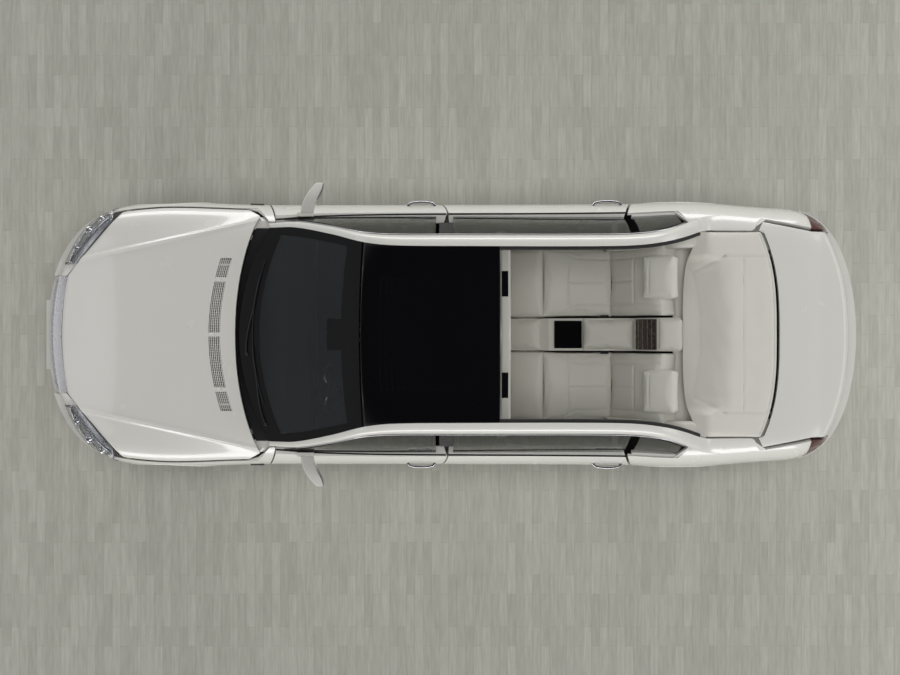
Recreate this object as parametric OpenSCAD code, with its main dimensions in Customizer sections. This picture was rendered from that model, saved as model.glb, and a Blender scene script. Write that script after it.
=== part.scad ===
// Landaulet: long four-door limousine with its rear soft top folded under a fitted cover.
// Front of the car towards -X, left side towards -Y, origin on the ground under the middle of the body.

/* [Body] */
// Overall length, plate plinth to rear bumper
body_length = 6165; // [6000:5:6300]
// Overall width at the wheel arches
body_width = 1980; // [1920:5:2040]
// Height of the roof above the ground
roof_height = 1573; // [1540:1:1620]
// Front axle behind the foremost point
front_overhang = 1007.5; // [990:0.5:1030]
// Rear axle ahead of the rearmost point
rear_overhang = 1330.5; // [1310:0.5:1350]
// Height of the widest line of the sides
waist_z = 650; // [620:1:680]
// Lower edge of the sides above the ground
sill_z = 200; // [180:1:215]
// How far the sides tuck in down to the sill
sill_tuck = 45; // [30:1:60]
// Squareness of the shoulders of the body section
shoulder_power = 9; // [8:0.1:10]

/* [Panels] */
// Gap between panels that are fixed to each other
fixed_gap = 0.3; // [0.2:0.05:0.6]
// Gap around doors and lids
shut_gap = 9; // [8:0.5:11]
// Thickness of bonnet, boot lid and roof shells
shell_t = 28; // [22:1:32]
// Thickness of the wings and rear quarters
wing_t = 24; // [18:1:28]
// Thickness of a whole door
door_t = 75; // [65:1:80]
// Thickness of a bumper moulding
bumper_t = 64; // [50:1:75]
// Thickness of the glass
glass_t = 6; // [4:0.5:8]
// Edge between the doors ahead of the middle of the two doors
door_split = 71; // [50:1:90]
// Front door edge behind the front wheel centre
front_door_front = 737; // [720:1:760]
// Rear door edge ahead of the rear wheel centre
rear_door_back = 384; // [370:1:400]

/* [Wheels] */
// Outer diameter of the tyres
tyre_d = 757; // [735:1:770]
// Width of the tyres
tyre_w = 275; // [255:1:285]
// Height of the tyre's wall over the rim
tyre_wall = 137; // [130:1:145]
// Front track
track_front = 1675; // [1660:1:1690]
// Rear track
track_rear = 1695; // [1680:1:1700]
// Room between a tyre and its wheel arch
arch_room = 55.5; // [50:0.5:65]
// Windows between the rim's spokes
spoke_count = 12; // [8:1:16]
// Rim over the edge of its brake disc
disc_room = 53.5; // [50:0.5:70]

/* [Front] */
// Width of the radiator grille
grille_w = 864; // [820:1:880]
// Height of the radiator grille
grille_h = 316; // [290:1:330]
// Vertical bars in the grille
grille_bars = 23; // [15:1:29]
// Rows of slats in the bonnet vent
vent_rows = 6; // [4:1:8]

/* [Cabin] */
// Width of one rear seat
rear_seat_w = 482; // [440:1:490]
// Width of the console between the rear seats
console_w = 244; // [220:1:260]
// Diameter of the steering wheel
steering_wheel_d = 384; // [360:1:400]

/* [Hidden] */
$fn = 64;

// Anchors along the car
half_w = body_width / 2;
nose_x = -body_length / 2;
tail_x = body_length / 2;
front_axle_x = nose_x + front_overhang;
rear_axle_x = tail_x - rear_overhang;
axle_z = tyre_d / 2;
rim_d = tyre_d - 2 * tyre_wall;
disc_d = rim_d - 2 * disc_room;
arch_r = tyre_d / 2 + arch_room;
bonnet_line = axle_z + arch_r + 187.5;
cowl_z = bonnet_line + 42;
cowl_x = front_axle_x + 567;
door_a = front_axle_x + front_door_front;
door_c = rear_axle_x - rear_door_back;
door_b = (door_a + door_c) / 2 - door_split;
boot_x = rear_axle_x + 611;
lid_end_x = rear_axle_x + 1114;
wing_front_x = front_axle_x - arch_r + 44;
quarter_end_x = rear_axle_x + 873;
bumper_nose_x = nose_x + 22;
upper_nose_x = nose_x + 132;
upper_tail_x = tail_x - 82;
bumper_tail_x = tail_x;
bumper_top_front = waist_z + 5;
bumper_top_rear = waist_z + 50;

// Body sections: position, inset from the full half width, height of the section's crown
BODY = [
    [nose_x, 50, 810],
    [front_axle_x - 490, 36, bonnet_line - 60],
    [front_axle_x, 0, bonnet_line],
    [cowl_x, 16, cowl_z],
    [door_a + 60, 20, 1060],
    [door_a + (door_b - door_a) * 0.35, 20, 1088],
    [door_a + (door_b - door_a) * 0.73, 20, 1104],
    [door_c - 100, 14, 1112],
    [rear_axle_x, 0, 1122],
    [boot_x, 42, 1096],
    [boot_x + 310, 56, 1040],
    [tail_x, 80, 930]
];

// Roof rails and pillars: position, inner edge y and z, outer edge y and z
RAIL = [
    [door_a + 45, 771, cowl_z - 10, 803, cowl_z - 38],
    [door_a + 250, 762, cowl_z + 110, 806, cowl_z + 66],
    [door_a + 534, 696, 1345, 752, 1300],
    [door_a + 747, 634, 1480, 700, 1432],
    [(door_a + 747) * 0.7 + (door_b + 134) * 0.3, 608, 1527, 682, 1470],
    [door_b + 134, 601, 1543, 680, 1482],
    [rear_axle_x - 752, 600, 1538, 680, 1478],
    [rear_axle_x - 452, 610, 1512, 690, 1452],
    [rear_axle_x - 252, 640, 1440, 722, 1380],
    [rear_axle_x - 102, 680, 1330, 775, 1270],
    [rear_axle_x + 40, 730, 1190, 832, 1130],
    [rear_axle_x + 110, 744, 1130, 850, 1076],
    [rear_axle_x + 210, 746, 1100, 862, 1043]
];

function lerp(a, b, t) = a + (b - a) * t;
function ease(t) = let (k = max(0, min(1, t))) k * k * (3 - 2 * k);

// Slope of column c of a table at row i
function slope(t, i, c) = let (a = max(0, i - 1), b = min(len(t) - 1, i + 1))
    (t[b][c] - t[a][c]) / (t[b][0] - t[a][0]);

// Smooth value of column c of a table at x
function station(t, x, c) = let (
    n = len(t),
    k = max(t[0][0], min(t[n - 1][0], x)),
    i = max([for (j = [0:n - 2]) if (t[j][0] <= k) j]),
    w = t[i + 1][0] - t[i][0],
    u = (k - t[i][0]) / w,
    a = t[i][c],
    b = t[i + 1][c],
    ma = slope(t, i, c) * w,
    mb = slope(t, i + 1, c) * w
) (2 * u ^ 3 - 3 * u ^ 2 + 1) * a + (u ^ 3 - 2 * u ^ 2 + u) * ma
    + (3 * u ^ 2 - 2 * u ^ 3) * b + (u ^ 3 - u ^ 2) * mb;

// Smooth value of column c of the rail table at x
function rail(x, c) = station(RAIL, x, c);

// Rounding of the plan outline at distance d from an end
function end_round(d, reach) = d <= 0 ? 0 : d >= reach ? 1 : sqrt(1 - (1 - d / reach) ^ 3);

function side_limit(x) = half_w - station(BODY, x, 1);
function crown(x) = station(BODY, x, 2);
function half_width(x) = side_limit(x) * end_round(x - upper_nose_x, 690)
    * end_round(upper_tail_x - x, 600);

// Height of the upper body over a point of the plan
function section_z(x, y) = waist_z + (crown(x) - waist_z)
    * sqrt(max(0, 1 - min(1, abs(y) / half_width(x)) ^ shoulder_power));

// Half width of the body side at a height
function side_y(x, z) = z >= waist_z
    ? half_width(x) * max(0.0001, 1 - min(1, (z - waist_z) / (crown(x) - waist_z)) ^ 2) ^ (1 / shoulder_power)
    : half_width(x) - sill_tuck * ((waist_z - z) / (waist_z - sill_z)) ^ 2;

// Waist line of the glass
function belt_z(x) = 982 + 0.0115 * (x - door_a);

// Door edges at a height
function lean(z, run) = run * max(0, (z - waist_z) / 335) ^ 1.5;
function edge_a(z) = door_a + lean(z, 84);
function edge_b(z) = door_b + lean(z, 52);
function edge_c(z) = min(door_c - lean(z, 72),
    rear_axle_x - sqrt(max(0, (arch_r + 36) ^ 2 - (z - axle_z) ^ 2)));

rail_t = 34;

// Closed solid between an outer and an inner surface given over u and v from 0 to 1
module patch(nu, nv, outer, inner) {
    n = (nu + 1) * (nv + 1);
    w = nv + 1;
    ring = concat(
        [for (i = [0:nu - 1]) i * w],
        [for (j = [0:nv - 1]) nu * w + j],
        [for (i = [0:nu - 1]) (nu - i) * w + nv],
        [for (j = [0:nv - 1]) nv - j]
    );
    m = len(ring);
    polyhedron(
        points = concat(
            [for (i = [0:nu]) for (j = [0:nv]) outer(i / nu, j / nv)],
            [for (i = [0:nu]) for (j = [0:nv]) inner(i / nu, j / nv)]
        ),
        faces = concat(
            [for (i = [0:nu - 1]) for (j = [0:nv - 1]) let (a = i * w + j)
                each [[a, a + w, a + w + 1], [a, a + w + 1, a + 1]]],
            [for (i = [0:nu - 1]) for (j = [0:nv - 1]) let (a = n + i * w + j)
                each [[a, a + w + 1, a + w], [a, a + 1, a + w + 1]]],
            [for (k = [0:m - 1]) let (a = ring[k], b = ring[(k + 1) % m])
                each [[a, n + a, n + b], [a, n + b, b]]]
        )
    );
}

// The part drawn for the right side, and for the left side as its mirror image
module on_side(side) {
    mirror([0, side < 0 ? 1 : 0, 0]) children();
}
module both_sides() {
    on_side(1) children();
    on_side(-1) children();
}

// Prism across the car from a side outline of x and z points
module across(width) {
    translate([0, width / 2, 0]) rotate([90, 0, 0]) linear_extrude(width) children();
}

module box(low, high) {
    translate(low) cube(high - low);
}

// Cylinder across the car
module barrel(x, y, z, r, length) {
    translate([x, y, z]) rotate([-90, 0, 0]) cylinder(r = r, h = length);
}

// Body side wall of a given thickness between two edges that depend on height
module side_wall(nu, nv, edge_1, edge_2, low, high, thick, set_in, bevel_1, bevel_2, roll = 0) {
    pt = function(u, v, t, b1, b2) let (
        x0 = lerp(edge_1(belt_z(0)), edge_2(belt_z(0)), u),
        z = lerp(low, high(x0), v),
        x = lerp(edge_1(z) + b1, edge_2(z) - b2, u),
        k = roll * v ^ 4
    ) [x, side_y(x, z) - t * (1 - k), z - t * k];
    patch(nu, nv,
        function(u, v) pt(u, v, set_in, 0, 0),
        function(u, v) pt(u, v, set_in + thick, bevel_1, bevel_2));
}

// Wheel arch cut for one axle
module arch_cut(x) {
    barrel(x, 0, axle_z, arch_r, half_w + 100);
}

// Hinges of the side doors: height, and size of a leaf
hinge_heights = [420, 690];
hinge_r = 11;
leaf_h = 34;
leaf_w = 20;
leaf_gap = 0.3;
hinge_in = 22;
hinge_back = 26;
post_gap = 8;
post_t = 62;
function hinge_x(edge) = edge + hinge_back;
function hinge_y(edge) = half_width(edge) - hinge_in;

// Upper leaf turns with the door, lower leaf stays on the post
module door_leaf(edge) {
    for (z = hinge_heights) {
        translate([hinge_x(edge), hinge_y(edge), z + leaf_gap / 2]) cylinder(r = hinge_r, h = leaf_h);
        box([hinge_x(edge), hinge_y(edge) - hinge_r, z + leaf_gap / 2],
            [hinge_x(edge) + 60, hinge_y(edge) + hinge_r - 4, z + leaf_gap / 2 + leaf_h]);
    }
}
module post_leaf(edge) {
    for (z = hinge_heights) {
        translate([hinge_x(edge), hinge_y(edge), z - leaf_gap / 2 - leaf_h]) cylinder(r = hinge_r, h = leaf_h);
        box([hinge_x(edge) - hinge_r, hinge_y(edge) - door_t - post_gap - 20, z - leaf_gap / 2 - leaf_h],
            [hinge_x(edge) + hinge_r, hinge_y(edge), z - leaf_gap / 2]);
    }
}
module hinge_pocket(edge) {
    room = hinge_r + 8;
    for (z = hinge_heights)
        box([edge - 20, hinge_y(edge) - door_t - 40, z - leaf_h - 8],
            [hinge_x(edge) + room, hinge_y(edge) + room - 4, z + leaf_h + 8]);
}

// Structure: raised rear floor behind the kick-up, wheel houses
kick_x = rear_axle_x - arch_r - 60;
rear_floor_z = axle_z + 161.5;
floor_top = 252;
house_rear_y = 644;
house_front_y = 500;

module floor_pan() {
    tub_y = 780;
    rear_y = house_rear_y - fixed_gap;
    floor_t = 30;
    floor_z = floor_top - floor_t;
    sill_y = side_y(0, sill_z + 30) - 2;
    pad = [90, 60, 12];
    color("dimgray") {
        box([door_a - 60, -tub_y, floor_z], [rear_axle_x - arch_r - 30, tub_y, floor_z + floor_t]);
        box([kick_x, -rear_y, floor_z], [kick_x + floor_t, rear_y, rear_floor_z]);
        box([kick_x, -rear_y, rear_floor_z - floor_t], [upper_tail_x - 160, rear_y, rear_floor_z]);
        box([door_a - 30, -150, floor_z], [part_x - fixed_gap, 150, 400]);
        box([boot_hinge_x - 90, -rear_y, rear_floor_z - 1], [boot_hinge_x - 60, rear_y, boot_hinge_z - 90]);
        both_sides() {
            box([front_axle_x + arch_r + 4, tub_y - 10, sill_z], [rear_axle_x - arch_r - 30, sill_y, sill_z + 48]);
            for (x = [door_a + 60, rear_axle_x - arch_r - 210])
                translate([x, sill_y - 110, sill_z - pad[2]]) cube(pad + [0, 0, 1]);
            barrel(boot_hinge_x, boot_ear_y + leaf_w + leaf_gap, boot_hinge_z, hinge_r, leaf_w);
            box([boot_hinge_x - 90, boot_ear_y + leaf_w + leaf_gap, boot_hinge_z - 150],
                [boot_hinge_x + hinge_r, boot_ear_y + 2 * leaf_w + leaf_gap, boot_hinge_z]);
            box([boot_hinge_x - 90, boot_ear_y, boot_hinge_z - 150], [boot_hinge_x - 60, house_rear_y, boot_hinge_z - 89]);
        }
    }
}

module body_sides() {
    pt = function(u, v, d) let (
        x = lerp(RAIL[0][0], RAIL[len(RAIL) - 1][0], u),
        s = sin(180 * v),
        y = lerp(rail(x, 3), rail(x, 1), v) + 12 * s + d * 0.15,
        seat_z = x > rear_axle_x - 60 ? section_z(x, y) + 3 : 0,
        top = max(lerp(rail(x, 4), rail(x, 2), v) + 14 * s, seat_z + 3)
    ) [x, y, max(top - d, seat_z)];
    post = function(low_x, high_x) function(z) lerp(low_x, high_x, max(0, (z - waist_z) / 335));
    upper_post = function(u, v, t) let (
        x = lerp(door_b - 8, door_b + 130, u),
        z = lerp(950, rail(x, 4) - rail_t + 12, v)
    ) [x, min(glass_y(x, z) - glass_t - post_gap, 784 + max(0, z - 1030)) - t, z];
    color("white") both_sides() {
        patch(44, 4, function(u, v) pt(u, v, 0), function(u, v) pt(u, v, rail_t));
        for (p = [[door_a, 84, -44, 84, 992], [door_b, 52, -60, 78, 965]]) {
            side_wall(1, 6, post(p[0] + p[2], p[0] + p[2] + p[1]), post(p[0] + p[3], p[0] + p[3] + p[1]),
                sill_z + 48 + fixed_gap, function(x) p[4], post_t, door_t + post_gap, 0, 0);
            post_leaf(p[0]);
        }
        patch(2, 5, function(u, v) upper_post(u, v, 0), function(u, v) upper_post(u, v, 36));
    }
}

// Front wing with the small nose panel between grille and headlamp
wing_top_in = 46;
function wing_top_y(x) = lerp(half_width(x) - wing_top_in, 814, ease((x - door_a + 30) / 75));
function wing_top_z(x) = section_z(x, wing_top_y(x));

module front_wings() {
    color("white") both_sides() difference() {
        side_wall(14, 10, function(z) wing_front_x, function(z) edge_a(z) - shut_gap - 1,
            sill_z + 48 + fixed_gap, function(x) wing_top_z(x), wing_t, 0, 0, wing_t, 0.8);
        arch_cut(front_axle_x);
    }
    color("white") both_sides() nose_panel(grille_w / 2 + fixed_gap, lamp_in_y - fixed_gap, 50);
}

function quarter_top_y(x) = let (k = x - rear_axle_x)
    k < 455 ? lerp(side_y(x, belt_z(x)), 742, ease((k + 40) / 110))
            : lerp(lerp(742, 836, ease((k - 455) / 72)), 770, max(0, (k - 530) / 345));

module quarter_patch(x1, x2, low, thick, nu) {
    pt = function(u, v, t) let (
        q = v,
        x0 = lerp(x1(waist_z), x2, u),
        top = acos(min(1, quarter_top_y(x0) / half_width(x0)) ^ (shoulder_power / 2)),
        k = max(0, q - 0.35) / 0.65,
        z = q < 0.35 ? lerp(low, waist_z, q / 0.35) : waist_z + (crown(x0) - waist_z) * sin(top * k),
        x = lerp(x1(min(z, belt_z(x0))), x2, u),
        h = half_width(x),
        y = q < 0.35 ? side_y(x, z) : h * cos(top * k) ^ (2 / shoulder_power),
        a = top * k ^ 3
    ) [x, y - t * cos(a), z - t * sin(a)];
    patch(nu, 14, function(u, v) pt(u, v, 0), function(u, v) pt(u, v, thick));
}

// Ledge under the fixed quarter glass
module window_sill(x1, x2, thick) {
    pt = function(u, v, t) let (x = lerp(x1, x2, u)) [x, side_y(x, belt_z(x)) - lerp(10, 44, v), belt_z(x) - t];
    patch(4, 1, function(u, v) pt(u, v, 0), function(u, v) pt(u, v, thick));
}

module rear_quarters() {
    color("white") both_sides() difference() {
        quarter_patch(function(z) edge_c(z) + shut_gap, quarter_end_x, sill_z + 20, wing_t, 16);
        arch_cut(rear_axle_x);
    }
    color("white") both_sides() window_sill(door_c - 44, rear_axle_x - 110, 26);
}

// Water tray under the rear edge of the bonnet, on the bulkhead
tray_z = cowl_z - 107;
module cowl() {
    wall_x = door_a - 60;
    box_z = [cowl_z - 162, cowl_z - 137];
    color("dimgray") {
        box([wall_x, -770, floor_top + fixed_gap], [wall_x + 24, 770, box_z[1]]);
        box([cowl_x - 30, -690, box_z[1] - 7], [wall_x + 90, 690, tray_z]);
        both_sides() {
            box([bonnet_hinge_x - 16, 670, box_z[0]], [wall_x + 60, 770, box_z[1]]);
            bonnet_ear(0);
        }
    }
}

// Plan of the bumpers: distance along the wrap runs from 0 at one end through the middle to 1
module bumper_wrap(front, end_x, low, top, nu) {
    tip = front ? bumper_nose_x : bumper_tail_x;
    dir = front ? 1 : -1;
    reach = front ? 800 : 600;
    pt = function(u, v, t) let (
        s = 2 * u - 1,
        z = lerp(low, top, v),
        h = (z - low) / (top - low),
        tuck = 70 * max(0, 0.55 - h) ^ 2 * 4 + 34 * max(0, h - 0.62) ^ 2 * 6,
        start = tip + dir * (tuck + t),
        x = lerp(start, end_x, s * s),
        d = abs(x - start),
        low_in = z < waist_z ? sill_tuck * ((waist_z - z) / (waist_z - sill_z)) ^ 2 : 0,
        y = (side_limit(x) - low_in - t * 0.6) * end_round(d, reach - t)
    ) [x, sign(s) * y, z];
    flip = front ? function(u) u : function(u) 1 - u;
    patch(nu, 7, function(u, v) pt(flip(u), v, 0), function(u, v) pt(flip(u), v, bumper_t));
}

// Plate plinth, bare
module plinth(x, z, thick) {
    box([x, -265, z - 58], [x + thick, 265, z + 58]);
}

grille_low_z = 540;
intake_half = 470;
intake_z = [262, 338];
module front_bumper() {
    color("white") {
        difference() {
            bumper_wrap(true, wing_front_x - fixed_gap, sill_z, bumper_top_front, 32);
            both_sides() arch_cut(front_axle_x);
            box([nose_x - 10, -grille_w / 2 - 12, grille_low_z], [nose_x + 400, grille_w / 2 + 12, 900]);
            box([nose_x - 10, -intake_half, intake_z[0]], [nose_x + 400, intake_half, intake_z[1]]);
        }
        plinth(nose_x, 440, 60);
    }
}

module rear_bumper() {
    color("white") {
        bumper_wrap(false, quarter_end_x + fixed_gap, sill_z + 20, bumper_top_rear, 32);
        plinth(tail_x - 90, 560, 60);
    }
}

// Upright chrome shell with vertical bars, leaning back with the nose and bowed in plan
grille_lean = 22;
grille_depth = 60;
function grille_bow(y) = nose_bow * (y / (grille_w / 2)) ^ 2;
grille_foot = [bumper_nose_x + 30, 0, grille_low_z + grille_depth * sin(grille_lean) + fixed_gap];
function grille_point(y, h, d) = grille_foot + [
    grille_bow(y) + h * sin(grille_lean) + d * cos(grille_lean), y, h * cos(grille_lean) - d * sin(grille_lean)];
module grille_bar(y, wide, front, deep, low, high) {
    translate(grille_point(y, 0, 0) - [0, wide / 2, 0]) rotate([0, grille_lean, 0])
        translate([front, 0, low]) cube([deep, wide, high - low]);
}
module grille() {
    shell_w = 26;
    bar_t = 9;
    round_r = 16;
    w = grille_w / 2;
    pitch = (grille_w - 2 * shell_w) / (grille_bars + 1);
    cap = function(u, v, t) let (y = lerp(-w, w, u), a = 180 * min(0.5, v))
        t > 0 ? grille_point(y, grille_h - shell_w, lerp(0, grille_depth, v))
              : grille_point(y, grille_h - round_r * (1 - sin(a)),
                    v < 0.5 ? round_r * (1 - cos(a)) : lerp(round_r, grille_depth, 2 * v - 1));
    band = function(u, v, d, low, high) grille_point(lerp(-w, w, u), lerp(low, high, v), d);
    color("silver") {
        patch(20, 8, function(u, v) cap(u, v, 0), function(u, v) cap(u, v, 1));
        patch(20, 1, function(u, v) band(u, v, 0, 0, shell_w), function(u, v) band(u, v, grille_depth, 0, shell_w));
        patch(20, 1, function(u, v) band(u, v, grille_depth - 8, shell_w - 1, grille_h - shell_w + 1),
            function(u, v) band(u, v, grille_depth, shell_w - 1, grille_h - shell_w + 1));
        for (i = [1:grille_bars])
            grille_bar(-w + shell_w + i * pitch, bar_t, 12, 26, shell_w - 2, grille_h - shell_w + 2);
        for (y = [-w + shell_w / 2, w - shell_w / 2])
            grille_bar(y, shell_w - 0.5, 1, grille_depth - 2, 1, grille_h - shell_w + 1);
    }
}

// Front edge of the bonnet: bowed behind the grille, then along the rear edge of the lamps
lamp_in_y = 522;
nose_bow = 50;
function bonnet_front_x(y) = let (a = abs(y), w = grille_w / 2)
    upper_nose_x + 106 + nose_bow * (min(a, w) / w) ^ 2 + 0.86 * max(0, a - w);

// Lamp body wrapped round the corner, flush with the bonnet and the wing
module lamp_body(y1, thick) {
    x1 = upper_nose_x + 690 * (1 - (1 - (y1 / side_limit(upper_nose_x + 90)) ^ 2) ^ (1 / 3));
    pt = function(u, v, t) let (
        xb = lerp(x1, wing_front_x - fixed_gap, u ^ 1.2),
        yb = max(y1, half_width(xb) - t * 0.6),
        yt = max(y1, lerp(y1 + 6, wing_top_y(wing_front_x), u) - t * 0.5),
        xt = bonnet_front_x(yt) - shut_gap - 5,
        zt = section_z(max(xt, upper_nose_x + 140), yt * 0.995),
        s = sin(90 * v),
        c = 1 - cos(90 * v)
    ) [lerp(xb + t * (1 - u), min(xt, wing_front_x - fixed_gap), c),
        lerp(yb, yt, c),
        lerp(bumper_top_front + fixed_gap + 2, zt - t * 0.3, s)];
    patch(10, 6, function(u, v) pt(u, v, 0), function(u, v) pt(u, v, thick));
}

// Painted nose panel between grille and lamp
module nose_panel(y1, y2, thick) {
    pt = function(u, v, t) let (
        y = lerp(y1, y2, u),
        xb = upper_nose_x + 690 * (1 - (1 - (y / side_limit(upper_nose_x + 90)) ^ 2) ^ (1 / 3)),
        xt = bonnet_front_x(y) - shut_gap,
        zt = section_z(upper_nose_x + 140, y * 0.995)
    ) [lerp(xb + t, xt, 1 - cos(90 * v)), y, lerp(bumper_top_front + fixed_gap, zt - t * 0.3, sin(90 * v))];
    patch(3, 6, function(u, v) pt(u, v, 0), function(u, v) pt(u, v, thick));
}

module headlamps() {
    color("lightgray") both_sides() lamp_body(lamp_in_y, 60);
}

module tail_lamps() {
    thick = 46;
    x2 = upper_tail_x - 165;
    pt = function(u, v, t) let (
        q = v,
        x = lerp(quarter_end_x + fixed_gap, x2, u),
        top = acos(min(1, 764 / max(766, half_width(x))) ^ (shoulder_power / 2)),
        z0 = bumper_top_rear + fixed_gap,
        a0 = asin((z0 - waist_z) / (crown(x) - waist_z)),
        a = lerp(a0, max(a0 + 4, top), q),
        y = max(half_width(x), 766) * cos(a) ^ (2 / shoulder_power)
    ) [x, max(752, y - t * cos(a)), max(z0, waist_z + (crown(x) - waist_z) * sin(a) - t * sin(a))];
    color("darkred") both_sides() patch(6, 6, function(u, v) pt(u, v, 0), function(u, v) pt(u, v, thick));
}

// Glass and roof

module windscreen() {
    pt = function(u, v, d) let (
        x = lerp(RAIL[0][0], RAIL[3][0], v),
        s = 2 * u - 1,
        k = 1 - s * s,
        back = lerp(213, 16, v),
        screen_gap = 3.2 * fixed_gap
    ) [x - back * k, s * (rail(x, 1) - screen_gap), rail(x, 2) + lerp(20, 82, v) * k - d];
    color("darkslategray") patch(16, 18,
        function(u, v) pt(u, v, 0), function(u, v) pt(u, v, glass_t * 1.3));
}

roof_front_x = RAIL[3][0];
roof_back_x = door_b + 404;
function roof_z(x, k) = let (edge = rail(x, 2))
    edge + (roof_height - 1543) * k * (1 - 0.5 * ((x - door_b + 100) / 900) ^ 4)
        + (1543 - edge) * k * 0.92;
module roof_panel() {
    pt = function(u, v, d) let (x = lerp(roof_front_x + 12, roof_back_x, u), s = 1 - 2 * v, k = 1 - s * s)
        [x - 16 * k * (1 - u), s * (rail(x, 1) - fixed_gap), roof_z(x, k) - d];
    color("black") patch(12, 14, function(u, v) pt(u, v, 0), function(u, v) pt(u, v, shell_t));
}

part_x = roof_back_x + 6;
module partition() {
    head_t = 66;
    wall_top = 975;
    head_low = 1450;
    color("whitesmoke") {
        translate([part_x + head_t, 0, 0]) rotate([90, 0, -90]) linear_extrude(head_t) polygon([
            [-rail(part_x, 1) + 3, head_low], [rail(part_x, 1) - 3, head_low],
            [rail(part_x, 1) - fixed_gap, rail(part_x, 2) - 46], [0, rail(part_x, 2) + 2],
            [-rail(part_x, 1) + fixed_gap, rail(part_x, 2) - 46]
        ]);
        box([part_x, -745, floor_top + fixed_gap], [part_x + head_t, 745, wall_top]);
        both_sides() box([part_x + 8, 600, wall_top - 1], [part_x + head_t - 8, 640, head_low + 1]);
    }
}

module partition_glass() {
    color("lightblue") box([part_x + 26, -600 + fixed_gap, 975 + fixed_gap],
        [part_x + 26 + glass_t, 600 - fixed_gap, 1450 - fixed_gap]);
}

// Side glass between belt and roof rail
function glass_y(x, z) = let (
    b = side_y(x, belt_z(x)) - 26,
    k = max(0, (z - belt_z(x)) / (1470 - belt_z(x)))
) lerp(b, 672, k) + 16 * sin(180 * min(1, k));
function glass_top(x) = rail(x, 4) - rail_t;

module side_glass(x1, x2, nu) {
    pt = function(u, v, t) let (
        x = lerp(x1, x2, u),
        low = belt_z(x) + fixed_gap,
        z = lerp(low, max(low + 30, glass_top(x) - shut_gap), v)
    ) [x, glass_y(x, z) - t, z];
    patch(nu, 4, function(u, v) pt(u, v, 0), function(u, v) pt(u, v, glass_t));
}

module quarter_glass() {
    color("darkslategray") both_sides()
        side_glass(door_c - 44, rear_axle_x - 110, 4);
}

// Moving panels

module side_door(side, anchor, edge_1, edge_2) {
    rear_bevel = 24;
    color("white") on_side(side) {
        difference() {
            side_wall(10, 9, edge_1, function(z) edge_2(z) - shut_gap, sill_z + 48 + shut_gap,
                function(x) belt_z(x), door_t, 0, 6, rear_bevel);
            hinge_pocket(anchor);
        }
        door_leaf(anchor);
    }
}
module door_front(side) {
    side_door(side, door_a, function(z) edge_a(z), function(z) edge_b(z));
}
module door_rear(side) {
    side_door(side, door_b, function(z) edge_b(z), function(z) edge_c(z));
}
module glass_front(side) {
    color("darkslategray") on_side(side)
        side_glass(door_a + 150, door_b - 34, 8);
}
module glass_rear(side) {
    color("darkslategray") on_side(side)
        side_glass(door_b + 90, door_c - 110, 8);
}

// Door mirror on its foot
module mirror_housing(side) {
    foot_x = door_a + 245;
    color("white") on_side(side) {
        y0 = side_y(foot_x + 60, belt_z(foot_x + 60)) - 22;
        box([foot_x, y0, belt_z(foot_x + 120) + fixed_gap], [foot_x + 120, y0 + 30, belt_z(foot_x) + 55]);
        pt = function(u, v, k) let (
            y = lerp(y0 + 26, half_w + 96, u),
            h = lerp(34, 88, ease(u * 2)) * (1 - 0.4 * u ^ 6),
            c = belt_z(foot_x) + 52 + 40 * u,
            x = foot_x + 26 + 110 * u ^ 2
        ) k == 0 ? [x + 14 * (1 - sin(180 * v)), y, c + h * (0.5 - v)]
                 : [x + lerp(92, 120, u) * (1 - 0.5 * u ^ 5), y, c + h * (0.5 - v)];
        patch(7, 6, function(u, v) pt(u, 1 - v, 0), function(u, v) pt(u, 1 - v, 1));
    }
}

// Bonnet with a ridge along each side and a shallow valley outboard of it
bonnet_hinge_x = door_a - 20;
bonnet_hinge_z = cowl_z - 117;
ridge_h = 16;
function bonnet_edge_y(x) = half_width(x) - wing_top_in - shut_gap - 8;
function ridge_y(x) = lerp(552, 826, (x - front_axle_x + 620) / 1330);
function bonnet_z(x, y) = let (
    a = abs(y),
    r = ridge_y(x),
    e = bonnet_edge_y(x),
    k = (a - r) / max(40, e - r)
) section_z(x, a) + (a < r ? ridge_h * (a / r) ^ 3 - ridge_h : -ridge_h * sin(180 * min(1, k)) * (1 - 0.3 * k));
function bonnet_rear_x(y) = let (k = abs(y) / 850) lerp(cowl_x - 34, door_a - 34, min(1, k) ^ 2.2);

// Half width of the bonnet at a share u of its length
bonnet_corner = 881;
function bonnet_span(u) = let (x = lerp(bonnet_front_x(bonnet_corner), bonnet_rear_x(bonnet_corner), u))
    bonnet_edge_y(x) * (1 - 0.05 * ease((x - door_a + 130) / 100));
function bonnet_point(u, v) = let (c = 1 - 2 * v)
    [lerp(bonnet_front_x(c * bonnet_span(0)), bonnet_rear_x(c * bonnet_span(1)), u), c * bonnet_span(u)];

module bonnet_shell(nu, nv) {
    at = function(u, v, d) let (p = bonnet_point(u, v)) [p[0], p[1], bonnet_z(p[0], p[1]) - d];
    patch(nu, nv, function(u, v) at(u, v, 0), function(u, v) at(u, v, shell_t));
}

// Hinge ears beside each other: the inner one turns with the bonnet
module bonnet_ear(moving) {
    y = moving ? 706 : 706 + leaf_gap + 20;
    barrel(bonnet_hinge_x, y, bonnet_hinge_z, 14, 20);
    if (!moving) box([bonnet_hinge_x - 14, y, cowl_z - 142], [bonnet_hinge_x + 14, y + 20, bonnet_hinge_z]);
}

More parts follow.
